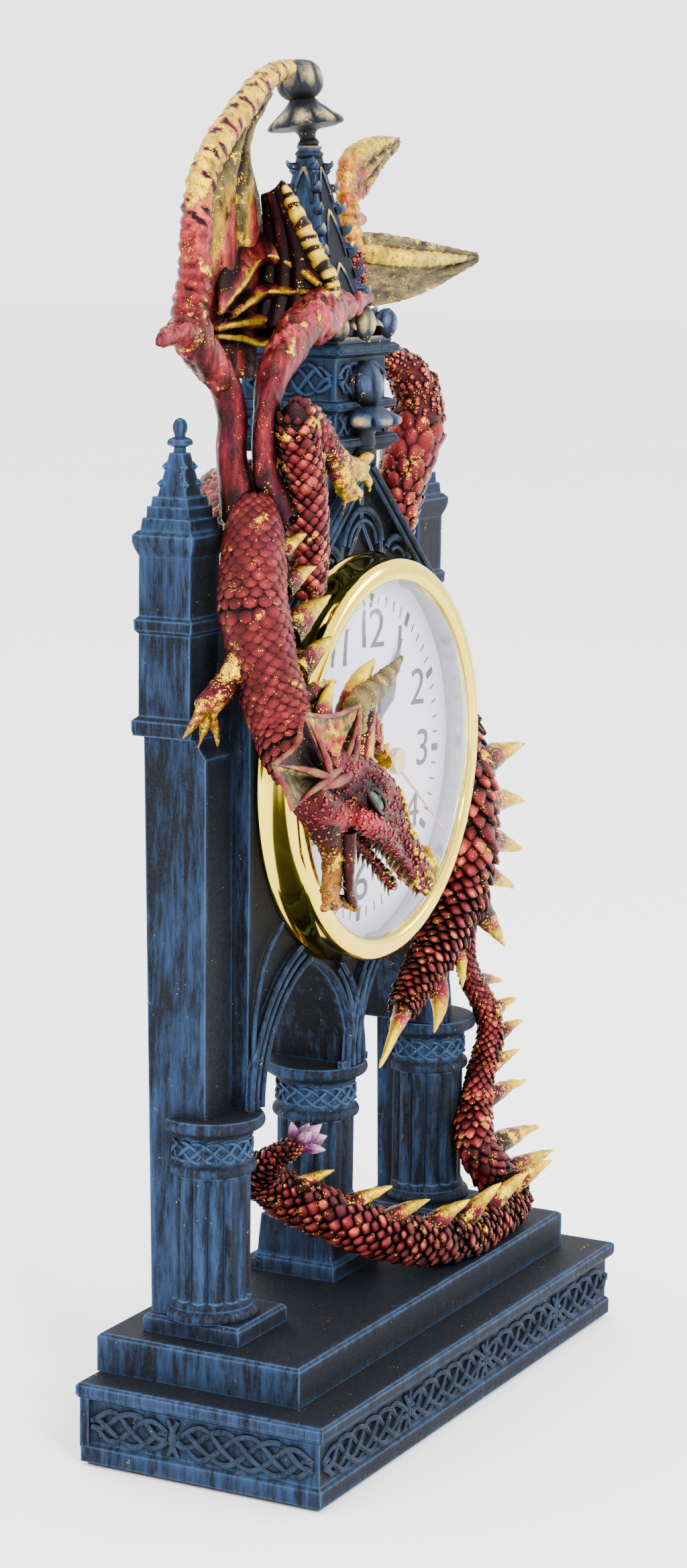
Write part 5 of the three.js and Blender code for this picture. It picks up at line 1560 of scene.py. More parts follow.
@dataclass
class Dragon:
    """The dragon, one method for each part of it."""

    shell: Stamp
    leaf: Stamp
    pebble: Stamp
    back: float = 36.5
    snout: float = -15.2
    eye_pit: Point = (-44.5, -21.5, 147)
    pit_reach: Point = (6.5, 6, 3.2)
    cheek: Point = (-46, -21, 141)
    knuckle: Point = (16.5, 15.5, 257.5)
    wrists: tuple = ((-61.5, 12, 242), (-18, 3.4, 246.5))

    def scaled(self, name: str, stations: list, replaces: tuple[str, ...], pitch: float,
               coat: Coat = Coat.LEAF, length: float = 1.15, tilt: float = 25, end: float = 1,
               step: float = 1.2, seed: int = 3) -> None:
        """A limb with a dark skin and a coat of scales.

        Args:
            name: the limb's name.
            stations: its centreline and radii.
            replaces: the CAD nodes that it stands for.
            pitch: a scale's width as a share of the radius.
            coat: the kind of scales.
            length: a scale's length as a share of its width.
            tilt: how far the tips lift, in degrees.
            end: where the scales end.
            step: how fine the centreline is.
            seed: the seed of the scales' variation.
        """
        course = Course([[*s[:3], s[3] - 0.6] for s in stations], step)
        skin = mark_rise(course.tube(18), 0.05)
        soft = coat is Coat.SHELL
        seats = course.seats(pitch, length, tilt, end, 0.1 if soft else 0.26, seed,
                             spread=0.5 if soft else 0.58, plump=0.2 if soft else 0.3)
        dice = random.Random(seed + 1)
        shades = np.array([dice.uniform(-0.1, 0.1) if soft else dice.uniform(-0.24, 0.2) for _ in seats])
        laid = (self.shell if soft else self.leaf).lay(name + "_scales", seats, shades)
        limb = flatten_back(merge([skin, laid]), self.back)
        present(limb, name, NECK if soft else HIDE, replaces, smooth=70)

    def spikes(self, name: str, rows: list, finish: Finish = THORN) -> None:
        """A set of spikes as one piece.

        Args:
            name: the piece's name.
            rows: a root, a tip, a radius and, where it isn't the usual one, a bow.
            finish: the piece's finish.
        """
        made = [thorn(r[:3], r[3:6], r[6], r[7:] or (0, 0, 0.5), 14) for r in rows]
        present(lumpy(merge(made), 2.2, 0.35), name, finish, smooth=60)

    def trunk(self) -> None:
        """Neck, body and hind leg."""
        self.scaled("neck", [
            [-47, 4, 206, 5], [-50, 2.5, 200, 6.6], [-53, 1, 193, 7.2], [-55, 0, 186, 7.4],
            [-54, -1, 180, 7.4], [-53.5, -2, 173, 7.3], [-53, -4, 167, 7.2], [-53, -6.5, 161, 7],
            [-55, -9.5, 156, 6.6], [-55, -12, 152, 6]], ("dragon_neck",), 0.46, Coat.SHELL, 1, 15)
        self.spikes("neck_spikes", [
            [-49, -3, 196, -43, -6, 200, 2.4], [-49.5, -4, 189, -40, -7, 193, 2.8],
            [-49.5, -5, 179.5, -35.5, -8, 186.5, 3.8], [-49, -7, 172, -37, -10, 178, 3.4],
            [-50, -9, 166, -40, -12, 169, 2.6]], GOLDEN)
        self.scaled("trunk", [
            [-44, 7, 203, 5], [-36, 16, 202, 5.8], [-25, 25, 204, 5.8], [-10, 28.2, 205, 6],
            [10, 28.6, 205, 6], [27, 29, 202, 6.2], [42, 29.4, 195, 6.4], [55, 30, 182, 6.6],
            [63, 26.5, 169, 6.4], [65, 18.5, 157, 6.2], [62, 11.5, 148, 6.2], [55, 5, 141, 6.6],
            [50.5, 2, 134, 7.2]], ("dragon_body",), 0.62, seed=9)
        self.scaled("hind_leg", [
            [50.5, 2, 136, 7], [50, 1, 131, 7.2], [49.8, 0.3, 124, 7.1], [49, -0.2, 115, 6.9],
            [45, -0.8, 108, 6.5], [38.5, -1.8, 102.5, 6], [30, -2.6, 97, 5.3], [20, -2.6, 91.5, 4.4],
            [13, -2.2, 86.5, 3.5]], ("dragon_hind_leg",), 0.62, tilt=28, seed=12)
        self.spikes("flank_spikes", [
            [53, -1, 137, 69, -6, 140.5, 4.2], [55, -1, 128, 70, -6, 126.5, 4.2],
            [55, -1, 119, 69.5, -6, 114.5, 4], [53, -1, 111.5, 65, -6, 106, 3.6],
            [47, -5, 104, 54, -9, 94, 3.4]], GOLDEN)
        self.spikes("foot_claws", [
            [14, -2.5, 87, 0, -3.4, 75.5, 2.4, -1, -1.2, 1.6],
            [24, -4, 92, 21.5, -6.5, 79.5, 3.4, 0.6, -1.6, 1],
            [33, -4, 98, 33, -8, 88, 2.6, 0.4, -1.2, 0.8]])

    def tail(self) -> None:
        """The tail that drops behind the right column and coils on the plinth."""
        self.scaled("tail", [
            [50, 0.8, 112, 3.4], [52.5, 1, 101, 3], [53.5, 1.4, 92, 2.8], [56.5, 0.8, 84, 2.9],
            [60, -1.5, 77, 3.2], [60.8, -2.6, 70.5, 3.4], [57.8, -1.8, 62, 3.5], [56.5, -1.4, 55.5, 4],
            [52, -2.6, 50, 4.4], [51, -4.2, 44.5, 4.7], [54.5, -6.6, 38.5, 5], [57, -9.5, 32.9, 5.2],
            [49, -13, 32.2, 5.1], [36, -14.6, 32.2, 5.1], [20, -14.6, 32.4, 5.2], [7, -11.2, 34.2, 5.3],
            [-4, -6, 38, 5.3], [-12, 0, 42.5, 5.3], [-17, 7, 46.5, 5.2], [-21, 12, 50.2, 4.7],
            [-25, 13.5, 53.8, 4.2], [-27.5, 10.5, 57.6, 3.5], [-27, 6.5, 60.8, 2.8],
            [-24.5, 3.8, 62.6, 2.2]], ("dragon_tail",), 0.66, tilt=28, step=0.9, seed=20)
        self.spikes("tail_spikes", [
            [56.5, 0, 84, 66, -3, 82.5, 2.2], [60, -3, 76, 68.5, -6, 78, 2.2],
            [61, -4, 70, 69.5, -7, 72.5, 2.2], [58, -3, 62, 68.5, -7, 65.5, 2.3],
            [57, -3, 55, 70.5, -8, 57.5, 2.8], [55, -6, 44, 72, -11, 46, 3.3],
            [56, -9, 37, 72, -15, 40.5, 3.3], [50, -13, 36, 59, -20.5, 42, 3],
            [34, -15, 35.5, 41.5, -22, 43.5, 3], [20, -15, 35.5, 25.5, -22.5, 45, 3],
            [8, -12.5, 37, 14, -20, 43.5, 3], [-4, -7, 40.5, 3.5, -15, 45.5, 2.8],
            [-11.5, -1, 45, -4, -9, 49.5, 2.6], [-20, 7, 50.5, -14, 0.5, 54.5, 2.2]], GOLDEN)
        gems = [self.facet((-24.8, 4.4, 62.2), tip, radius) for tip, radius in
                (((-18.4, 0.2, 63.4), 1.8), ((-21.4, 0, 66.8), 1.6), ((-19, 4.4, 65.8), 1.5),
                 ((-25.4, 0.4, 66), 1.4), ((-21.2, -1, 61), 1.3), ((-23.6, 6.4, 67), 1.3))]
        present(merge(gems), "tail_gems", GEM, ("dragon_tail_gem",), smooth=5)

    def facet(self, root: Point, tip: Point, radius: float) -> Piece:
        """A six-sided crystal.

        Args:
            root: the middle of its foot.
            tip: its point.
            radius: how thick it is at its widest.

        Returns:
            A closed mesh.
        """
        a, b = np.array(root, float), np.array(tip, float)
        rows = [[*(a + (b - a) * t), radius * share] for t, share in
                ((0, 0.7), (0.2, 1), (0.65, 0.95), (1, 0.08))]
        return Course(rows, 50).tube(6)

    def arm(self) -> None:
        """The arm that reaches across the front, and its gold hand on the gable."""
        self.scaled("reaching_arm", [
            [-34, -1.5, 187, 4.2], [-36, -2.5, 197, 4.6], [-39, -3, 212, 4.8], [-42.5, -3.2, 224, 4.2],
            [-37, -4.2, 221.5, 3.8], [-31, -4.6, 216.5, 3.2]], (), 0.62, length=0.95, tilt=20,
            end=0.93, seed=31)
        palm = [Course([[-34, -4.4, 219.5, 3.2], [-29, -4.8, 214.8, 3.3], [-22, -4.6, 212.2, 2.9],
                        [-14.5, -3.9, 211.6, 2.4]], 0.8).tube(16),
                Course([[-30, -4.8, 216, 2.6], [-25.5, -5.2, 209.6, 2.4],
                        [-20.5, -4.8, 206.4, 1.9]], 0.8).tube(14)]
        palm += [thorn(root, tip, radius, (0, -1, 1.2), 12) for root, tip, radius in
                 (((-16, -3.8, 212), (-6.4, -2.4, 213.6), 1.8), ((-17, -4, 211), (-8.6, -3, 206.2), 1.8),
                  ((-21, -4.6, 207.6), (-13, -3, 203.4), 1.6), ((-25, -5, 209.4), (-22, -3.4, 202.2), 1.6))]
        hand = lumpy(lumpy(fuse(palm, 0.4), 2.4, 0.75), 0.9, 0.3)
        mark_rise(hand, 0.22 + 0.4 * np.clip((spots(hand)[:, 0] + 34) / 14, 0, 1))
        present(hand, "reaching_hand", GOLDEN, ("dragon_arm",), smooth=60)
        paw = [Course([[-56, 0, 178, 3.4], [-59, 2, 172, 3.2], [-61.5, 5, 167, 2.8],
                       [-63, 7.5, 164, 2.6]], 1).tube(14)]
        paw += [thorn((-62.5, 7, 165), tip, 1.8, (-0.5, -1, 0.5)) for tip in
                ((-71, 8, 158.5), (-66, 6.5, 156.5), (-60.5, 5, 156))]
        rest = lumpy(fuse(paw, 0.4), 1.8, 0.4)
        mark_rise(rest, 0.12 + 0.35 * np.clip((178 - spots(rest)[:, 2]) / 20, 0, 1))
        present(rest, "resting_hand", GOLDEN, ("dragon_hand_left",), smooth=60)

    def build(self) -> None:
        """Makes the whole dragon."""
        self.trunk()
        self.tail()
        self.arm()
        self.head()
        self.wings()

    def head(self) -> None:
        """The skull with its pebbled hide, and the open jaw that hangs from the cheek."""
        upper = [Course([[-56, -11.5, 153, 5.2], [-49, -13.5, 151, 6.6], [-42, -14.5, 148, 7.2],
                         [-34, -15.2, 144.5, 6.8], [-26, -15.6, 138.5, 5.2], [-18, -16.2, 131, 4.2],
                         [-10.5, -17, 123.5, 3.4], [-7.5, -18, 119.4, 1.6]], 1).tube(24),
                 Course([[-58, -14.4, 149, 4.4], [-55.5, -15.6, 145.4, 4.6], [-50, -16, 142.4, 4.4],
                         [-43, -16, 141.4, 3.8]], 1).tube(18)]
        for side in (-1, 1):
            for sides, rows in (
                    (12, ((-44, 4.6, 151.4, 1.2), (-38, 5.6, 149, 2), (-30, 5.2, 144, 2),
                          (-22, 3.9, 137.4, 1.2))),
                    (12, ((-47, 5, 142, 2.2), (-39, 5.4, 138.8, 2.6), (-32, 5, 135.5, 2.2),
                          (-24, 4.1, 130.5, 1.5))),
                    (10, ((-24, 4, 130.5, 1.2), (-17, 3.9, 124.9, 1.2), (-11.4, 3.2, 120, 1)))):
                rows = [[x, self.snout + side * y, z, r] for x, y, z, r in rows]
                upper.append(Course(rows, 1).tube(sides))
            upper.append(Course([[-13, self.snout - 1 + side * 1.8, 126.4, 1.2],
                                 [-10, self.snout - 1 + side * 2, 124, 1.5],
                                 [-8, self.snout - 1.4 + side * 1.6, 121.6, 1]], 1).tube(10))
        skull = lumpy(fuse(upper, 0.42, 4), 2.6, 0.35)
        # Painted shade: the hide is darker round the eye socket.
        socket_shade = nearness(spots(skull), self.eye_pit, self.pit_reach, 1.5)
        flush = nearness(spots(skull), self.cheek, (9, 6, 4.5), 1.6)
        mark_rise(skull, np.clip(0.42 - 0.4 * socket_shade + 0.3 * flush, 0.02, 1))
        seats = self.pebbled(skull, 2600, 0.22, 0.62, 41)
        # The pebbles round the eye socket carry the same painted shade.
        socket_shade = nearness(seats[:, :3, 3], self.eye_pit, self.pit_reach, 1.4)
        flush = nearness(seats[:, :3, 3], self.cheek, (10, 6, 5), 1.6)
        coat = self.pebble.lay("pebbles", seats, 0.1 - 0.5 * socket_shade + 0.3 * flush)
        nuggets = self.pebbled(skull, 1300, 0.4, 1.15, 67)
        x, z = nuggets[:, 0, 3], nuggets[:, 2, 3]
        brow = (x > -31) & (z > 0.98 * (141 - 1.15 * (x + 24)))
        nuggets = nuggets[brow | ((x > -17.5) & (z > 119))]
        present(merge([skull, coat]), "head", HEAD, ("dragon_head",), smooth=60)
        self.jaw()
        self.teeth()
        self.gilded_ridge(nuggets)
        self.horns()
        self.eyes()
        self.frill()

    def jaw(self) -> None:
        """The lower jaw: two branches, the near one pitted ochre, joined at the chin."""
        parts = [Course([[-54.5, -15.6, 146, 4.4], [-52.2, -15.9, 140.2, 3.6], [-48.6, -15.7, 135.6, 2.7],
                         [-47, -15.4, 130.8, 2.3], [-47.3, -15.1, 126.2, 2.1],
                         [-47.4, -15.2, 123, 1.8]], 0.8).tube(18),
                 Course([[-47.4, -15.2, 124.2, 1.6], [-50.4, -15, 122, 0.8]], 0.6).tube(10),
                 Course([[-47.1, -15.2, 123, 1.7], [-43.3, -15.8, 122.6, 1.3], [-39.2, -17, 120.6, 0.9]],
                        0.6).tube(12)]
        near = lumpy(fuse(parts, 0.36), 1.5, 0.4)
        mark_rise(near, np.clip(0.1 + (141 - spots(near)[:, 2]) / 18, 0.1, 0.9))
        pits = self.pebbled(near, 380, 0.22, 0.5, 77)
        coat = self.pebble.lay("jaw_pebbles", pits, np.clip((141 - pits[:, 2, 3]) / 22, -0.2, 0.6))
        present(merge([near, coat]), "jaw", JAW, ("dragon_jaw",), smooth=60)
        right = Course([[-46.6, -18.6, 138.5, 2], [-45.9, -18.5, 133.2, 1.5], [-44.9, -18, 128.9, 1.3],
                        [-43.6, -17.4, 125, 1.1], [-40.2, -17, 121.4, 1]], 0.7).tube(14)
        present(lumpy(mark_rise(right, 0.3), 1.6, 0.3), "jaw_far_branch", JAW, smooth=60)

    def teeth(self) -> None:
        """Teeth along the lip's underside and the jaw's inner edges."""
        made = []
        lip = catmull([(-36, -19.6, 134.9), (-31.7, -19.6, 132.1), (-24.8, -19.2, 128.4),
                       (-17.4, -18.8, 124), (-11.5, -18.2, 120.2)], 12)
        for k, (x, y, z) in enumerate(lip):
            size = 1.5 + 1.1 * (k % 3 == 1) + 0.5 * (k % 2)
            made += [thorn((x, y + root, z + 0.3), (x - 1.2, y + tip, z - size), 0.5, sides=6)
                     for root, tip in ((0, 0.3), (7.4, 7))]
        for t in np.linspace(0, 1, 7):
            made.append(thorn((-45.9 + 1.4 * t, -18.3 + 0.7 * t, 134 - 8.4 * t),
                              (-47.6 + 1.2 * t, -17.6 + 0.5 * t, 134.9 - 8 * t), 0.42, sides=6))
            made.append(thorn((-46.2 + 0.6 * t, -16 + 0.5 * t, 133.6 - 8.8 * t),
                              (-44.6 + 0.4 * t, -16.6 + 0.4 * t, 134.3 - 8.4 * t), 0.42, sides=6))
        present(merge(made), "teeth", BONE, smooth=60)

    def gilded_ridge(self, seats: np.ndarray) -> None:
        """Gold nuggets over the brow and snout, the gold beak and the crest's spikes.

        Args:
            seats: where the nuggets sit, in mm.
        """
        nuggets = self.pebble.lay("nugget_copies", seats, np.full(len(seats), 0.25))
        beak = fuse([Course([[-8, -17, 128, 1.8], [-5, -17.2, 125, 2], [-4.8, -17.4, 121.6, 1.8],
                             [-8, -18, 118, 0.4]], 0.6).tube(16),
                     Course([[-10, -17, 127, 1.4], [-7.4, -17.4, 123.6, 1.6], [-8, -17.8, 120, 0.8]],
                            0.6).tube(12)], 0.3)
        mark_rise(lumpy(beak, 1.2, 0.55), 0.5)
        present(merge([beak, nuggets]), "gilded_snout", CLAW, smooth=60)
        crest = [thorn(root, tip, 1.7) for root, tip in
                 (((-29, -16, 153), (-25, -15.4, 158.4)), ((-27, -16, 152), (-20.6, -15, 153.4)),
                  ((-24.6, -16, 150), (-18.4, -15.4, 150.2)), ((-30.6, -16, 155), (-26.4, -15, 161.4)))]
        ridge = lumpy(merge(crest), 1.2, 0.4)
        mark_rise(ridge, 0.4 + 0.3 * np.clip((spots(ridge)[:, 0] + 29) / 8, 0, 1))
        present(ridge, "brow_crest", THORN, smooth=60)

    def horns(self) -> None:
        """The bony near horn on its red shaft, the red far horn, and the small gilded one."""
        near = Course([
            [-38, -15.4, 158, 2.4], [-37.4, -15.4, 162.6, 2.7], [-34, -15.4, 165, 2.7],
            [-29.2, -15.3, 166, 2.5], [-23.6, -15, 167.8, 2.1], [-18.4, -14.8, 169.8, 1.3],
            [-14.4, -14.6, 171.6, 0.3]], 0.4).tube(18, 0.05, 2.2)
        mark_rise(near, 0.56 + 0.12 * np.sin(spots(near)[:, 0] * 1.3))
        present(lumpy(near, 1.6, 0.3), "horn_near", BONE, ("dragon_horn_near",))
        shaft = Course([[-37, -15.6, 150, 3.3], [-35.6, -15.6, 155, 3], [-34, -15.4, 159.6, 2.8],
                        [-32.4, -15.2, 163.8, 2.2]], 0.5).tube(18)
        far = Course([[-40, -12, 152, 2.8], [-36.4, -12, 158.4, 2.7], [-33, -12, 164.4, 2.5],
                      [-28.4, -12, 168.6, 1.9], [-22.4, -12, 171.6, 0.4]], 0.5).tube(16, 0.04, 2.6)
        mark_rise(far, 0.26 + 0.5 * np.clip((spots(far)[:, 2] - 165) / 6, 0, 1))
        mark_rise(shaft, 0.3 + 0.24 * np.sin(spots(shaft)[:, 1] * 2.6))
        present(lumpy(merge([shaft, far]), 2.2, 0.35), "horn_far", THORN, ("dragon_horn_far",))
        small = thorn((-50.5, -13.4, 160), (-42.8, -13, 170.2), 3, (-1, 0, 0), 14)
        present(lumpy(small, 1.8, 0.3), "horn_small", THORN)

    def eyes(self) -> None:
        """Slit green eyes between dark lids."""
        x, z, slant = -39.2, 144.3, 36
        c, s = math.cos(math.radians(-slant)), math.sin(math.radians(-slant))
        half = [(math.sin(a), -math.cos(a)) for a in np.linspace(0.2, math.pi - 0.2, 14)]
        for name, y, side in (("near", -21.1, -1), ("far", -9.3, 1)):
            ball = lathe([(0, -1), *half, (0, 1)], steps=32)
            points = spots(ball)
            mark_rise(ball, np.clip(0.05 + 2.6 * np.abs(points[:, 0]), 0, 0.95))
            fit = at(x, y, z) @ turn(y=slant) @ Matrix.Diagonal((4.2, 1.15, 1.5, 1))
            present(reshape(ball, carried(points, fit)), "eye_" + name, EYE, ("dragon_eye_" + name,))
            lids = []
            for lid in (-1, 1):
                rows = []
                for a in np.linspace(0, math.pi, 11):
                    u, v = 4.6 * math.cos(a), lid * 1.65 * math.sin(a) ** 0.8
                    rows.append([x + u * c - v * s, y + side * (0.8 * math.sin(a) + 0.1),
                                 z + u * s + v * c, 0.3 + 0.26 * math.sin(a)])
                lids.append(Course(rows, 0.5).tube(10))
            present(mark_rise(merge(lids), 0.2), "lids_" + name, HEAD)

    def pebbled(self, obj: Piece, count: int, low: float, high: float, seed: int) -> np.ndarray:
        """Seats for round bumps scattered over a mesh.

        Args:
            obj: the mesh.
            count: how many bumps.
            low: the smallest radius.
            high: the biggest radius.
            seed: the seed of the scatter.

        Returns:
            One 4 by 4 matrix a bump, in mm.
        """
        dice = random.Random(seed)
        faces = obj.data.polygons
        seats = []
        for _ in range(count):
            face = faces[dice.randrange(len(faces))]
            size = low + (high - low) * dice.random() ** 2
            spin = face.normal.to_track_quat("Z", "Y").to_matrix().to_4x4()
            seats.append(np.array(Matrix.Translation(face.center / MM) @ spin
                                  @ Matrix.Diagonal((size, size, size * 0.75, 1))))
        return np.array(seats)

    def frill(self) -> None:
        """The bat-like frill behind the cheek: three panels between four spokes, edged with cord."""
        root = (-55.4, -18.6, 151.2)
        tips = ((-39.3, -17.2, 164), (-64, -17, 165.4), (-74.4, -16, 156.3), (-68.1, -17, 146.2))
        dips = ((-50, -16.3, 163.2), (-63.4, -15.5, 159.6), (-69.8, -16, 151.2))
        levels = (lambda u, v: 0.46 + 0.24 * v - 0.16 * u, lambda u, v: 0.06 + 0.3 * np.clip(v - 0.75, 0, 1),
                  lambda u, v: 0.62 + 0.25 * v)
        made, cords = [], []
        for a, b, dip, level in zip(tips, tips[1:], dips, levels):
            rows = [[root, np.add(root, end) / 2 + (0, sag, 0), end]
                    for end, sag in ((a, 0), (dip, 1.7), (b, 0))]
            made.append(web(rows, 0.7, 0, 14, 14, rise=level))
            cords.append(Course([[*a, 0.55], [*dip, 0.6], [*b, 0.55]], 0.6).tube(10))
        present(lumpy(merge(made), 1.6, 0.3), "frill_web", WEB, smooth=60)
        for tip, bend in zip(tips, ((2.6, -0.8, -4.4), (3.2, -0.4, 0.4), (0.6, -0.4, 0.8), (-0.6, -0.4, 1))):
            cords.append(thorn(root, tip, 1.15, tuple(0.5 * c for c in bend), 12))
        cords.append(Course([
            [-58.4, -18, 149.6, 1], [-52, -19.4, 150.2, 1.3], [-46.4, -19, 152, 1.2],
            [-42.6, -18.2, 156, 0.9], [-40.6, -17.7, 161, 0.8], [-39.4, -17.2, 164.6, 0.5]], 0.6).tube(12))
        whole = lumpy(merge(cords), 1.4, 0.22)
        mark_rise(whole, 0.5 + 0.2 * np.sin(spots(whole)[:, 0] * 0.9))
        present(whole, "frill_spokes", CORD)

    def wings(self) -> None:
        """Both folded wings and the pair of fingers that stand out to the right."""
        outer_wrist, inner_wrist = self.wrists
        arm = Course([[-47.5, 7, 203, 4.2], [-48.5, 8, 210, 3.6], [-48.4, 9, 217, 3.3], [-47.8, 9, 224, 3.2],
                      [-50.5, 9.5, 230.5, 3.4], [-56, 10.8, 236, 3.8], [*outer_wrist, 4.3]], 1).tube(20)
        claw = thorn((-58, 12, 241.8), (-76.2, 11, 240.4), 4.4, (0, 0, 0.6), 16)
        self.sleeve("outer_wing_arm", [arm, claw], "dragon_wing_left")
        finger = Course([
            [*outer_wrist, 4.2], [-60, 12.5, 247, 3.7], [-58, 12.5, 254, 3.4], [-57, 13, 262, 3.2],
            [-52, 14, 274, 3], [-37, 14.5, 286.5, 2.8], [-21, 16, 294.5, 2.4], [-8, 18.3, 296.9, 1.7]],
            0.5).tube(20, 0.07, 2.7)
        places = spots(finger)
        high = np.clip((places[:, 2] - 262) / 16, 0, 1)
        along = places[:, 0] + places[:, 2] + 0.9 * np.sin(places[:, 1] * 1.3)
        slash = np.sin(along * 1.5) + 0.5 * np.sin(along * 0.53 + places[:, 1]) > 0.75
        mark_rise(finger, 0.26 + 0.14 * np.clip((places[:, 2] - 240) / 30, 0, 1) + 0.32 * high
                  - 2 * slash * high)
        present(lumpy(finger, 2.6, 0.45), "outer_wing_finger", WING, smooth=60)
        outer = web([
            [(-57, 12, 239), (-48, 13.5, 234), (-38, 14, 231.5), (-30, 13.5, 231)],
            [(-59, 12.5, 250), (-46, 17, 246), (-33, 16, 243), (-21, 18.5, 242)],
            [(-57, 13, 262), (-44, 17.5, 258), (-31, 16.5, 256.5), (-17, 19.5, 256)],
            [(-52, 14, 274), (-42, 17, 271.5), (-32, 16.5, 270), (-22, 17.5, 268)],
            [(-37, 14.5, 286.5), (-35, 15.5, 284), (-33, 15.5, 282), (-30, 15.5, 280)],
            [(-22, 16, 294), (-22, 16, 292.6), (-21.5, 16, 291.4), (-21, 16, 290)]], 1.2, 1.5, 32, 44,
            rise=lambda u, v: 0.42 + 0.42 * np.clip(2.2 * u - 0.5, 0, 1) - 0.22 * v * (1 - u))
        present(lumpy(outer, 3.2, 0.45), "outer_wing_web", WEB, smooth=60)
        inner_arm = Course([
            [-42, -0.5, 203, 3.4], [-46, 1.5, 210, 2.9], [-45.2, 3, 217, 2.7], [-44.4, 3, 224, 2.8],
            [-42.5, 3.2, 230.4, 3.2], [-39, 3.4, 235, 3.7], [-31, 3.6, 240.5, 4.2], [*inner_wrist, 4.4]],
            1).tube(20)
        inner_claw = thorn((-24, 3.7, 243.4), (4.4, 3, 247.8), 5.4, (0, 0, 0.4), 16)
        self.sleeve("inner_wing_arm", [inner_arm, inner_claw], "dragon_wing_inner")
        striped = Course([
            [*inner_wrist, 2.4], [-14.8, 4, 251, 2.1], [-18, 5, 256, 1.9], [-23.4, 6.3, 263.4, 1.8],
            [-27, 7.1, 268.6, 1.4], [-29.6, 7.8, 272.4, 0.5]], 0.4).tube(18, 0.1, 3.2)
        _, depth, height = spots(striped).T
        mark_rise(striped, 0.6 + 0.36 * np.sin(height * 1.9 + 1.3 * np.sin(height * 0.7) + depth))
        present(lumpy(striped, 1.8, 0.3), "inner_wing_finger", ROPE, smooth=60)
        inner = web([
            [(-20, 5, 243), (-22, 9, 242), (-23, 13, 241.5), (-24, 16.5, 241)],
            [(-17, 5, 252), (-19.5, 9, 251), (-20, 13, 250.5), (-21, 17, 250)],
            [(-22, 6.2, 262), (-21.5, 9.5, 260.5), (-21, 13, 259.5), (-20.5, 17, 259)],
            [(-30, 8, 273), (-28.5, 10, 271.5), (-27, 12.5, 270.5), (-25.5, 15, 270)]], 1, 0.5,
            rise=lambda u, v: 0.02 + 0.16 * u)
        present(inner, "inner_wing_web", WEB, smooth=60)
        self.fan()
        self.right_wing()

    def fan(self) -> None:
        """The folded web between both wrists, pleated in ridges and valleys, and its tendons."""
        ridges = (
            ((-19.6, 4, 250.8), (-19.4, 10, 254.5), (-22.3, 15, 257),
             (-36.7, 13.5, 250.9), (-48.7, 12, 245.4)),
            ((-18.9, 4, 249.1), (-20.2, 9.5, 249.2), (-23.1, 14.5, 249.2),
             (-32.2, 13.5, 247.4), (-42.1, 12, 245)),
            ((-18.6, 4.5, 247.5), (-20.2, 9.5, 245.2), (-21.8, 14.5, 243.4),
             (-36, 13, 243), (-49.8, 12, 242.3)),
            ((-18.5, 5.5, 245.3), (-21, 9, 241.1), (-25.3, 14, 238.3),
             (-37.4, 13, 239.8), (-49.8, 12, 240.6)))
        valleys = (
            ((-14.7, 7, 253), (-15.5, 12, 261), (-16.2, 18.5, 266), (-30, 18.5, 260), (-44, 15, 252)),
            ((-16.1, 6.5, 249.9), (-15.7, 13, 251.8), (-18.6, 18.5, 253),
             (-30.1, 17, 249.2), (-43.2, 14, 245.4)),
            ((-16.1, 6.5, 248.2), (-15.6, 13, 246.9), (-18.5, 18.5, 246),
             (-31, 16.5, 244.9), (-43.2, 14, 243.6)),
            ((-16.3, 7, 246.4), (-17.3, 12, 243), (-20.2, 17.5, 240.7),
             (-35.6, 15.5, 241.2), (-48, 13.5, 241.3)))
        rows = [list(row) for pair in zip(valleys, ridges) for row in pair]
        skin = web(rows, 1, 0, 30, 44, rise=lambda u, v: 0.24 - 0.22 * np.cos(7 * math.pi * u))
        present(lumpy(skin, 2.2, 0.25), "wing_fan", WEB, smooth=60)
        tendons = [Course([[*p, r] for p, r in zip(row, (0.8, 0.75, 0.5, 0.75, 0.4))], 0.6).tube(12)
                   for row in ridges]
        whole = lumpy(merge(tendons), 1.8, 0.25)
        mark_rise(whole, 0.3 + 0.5 * np.abs(np.sin(spots(whole)[:, 1] * 0.32)))
        present(whole, "wing_tendons", TENDON, smooth=60)

    def sleeve(self, name: str, parts: list[Piece], node: str) -> None:
        """A wing's arm and wrist claw joined under one sinewy skin.

        Args:
            name: the piece's name.
            parts: the arm and its claw.
            node: the CAD node that it stands for.
        """
        whole = lumpy(lumpy(fuse(parts, 0.5, 6), 2.8, 0.28, 6), 1.4, 0.1)
        mark_rise(whole, 0.2 + 0.55 * np.clip((spots(whole)[:, 2] - 205) / 36, 0, 1))
        present(whole, name, SKIN, (node,), smooth=60)

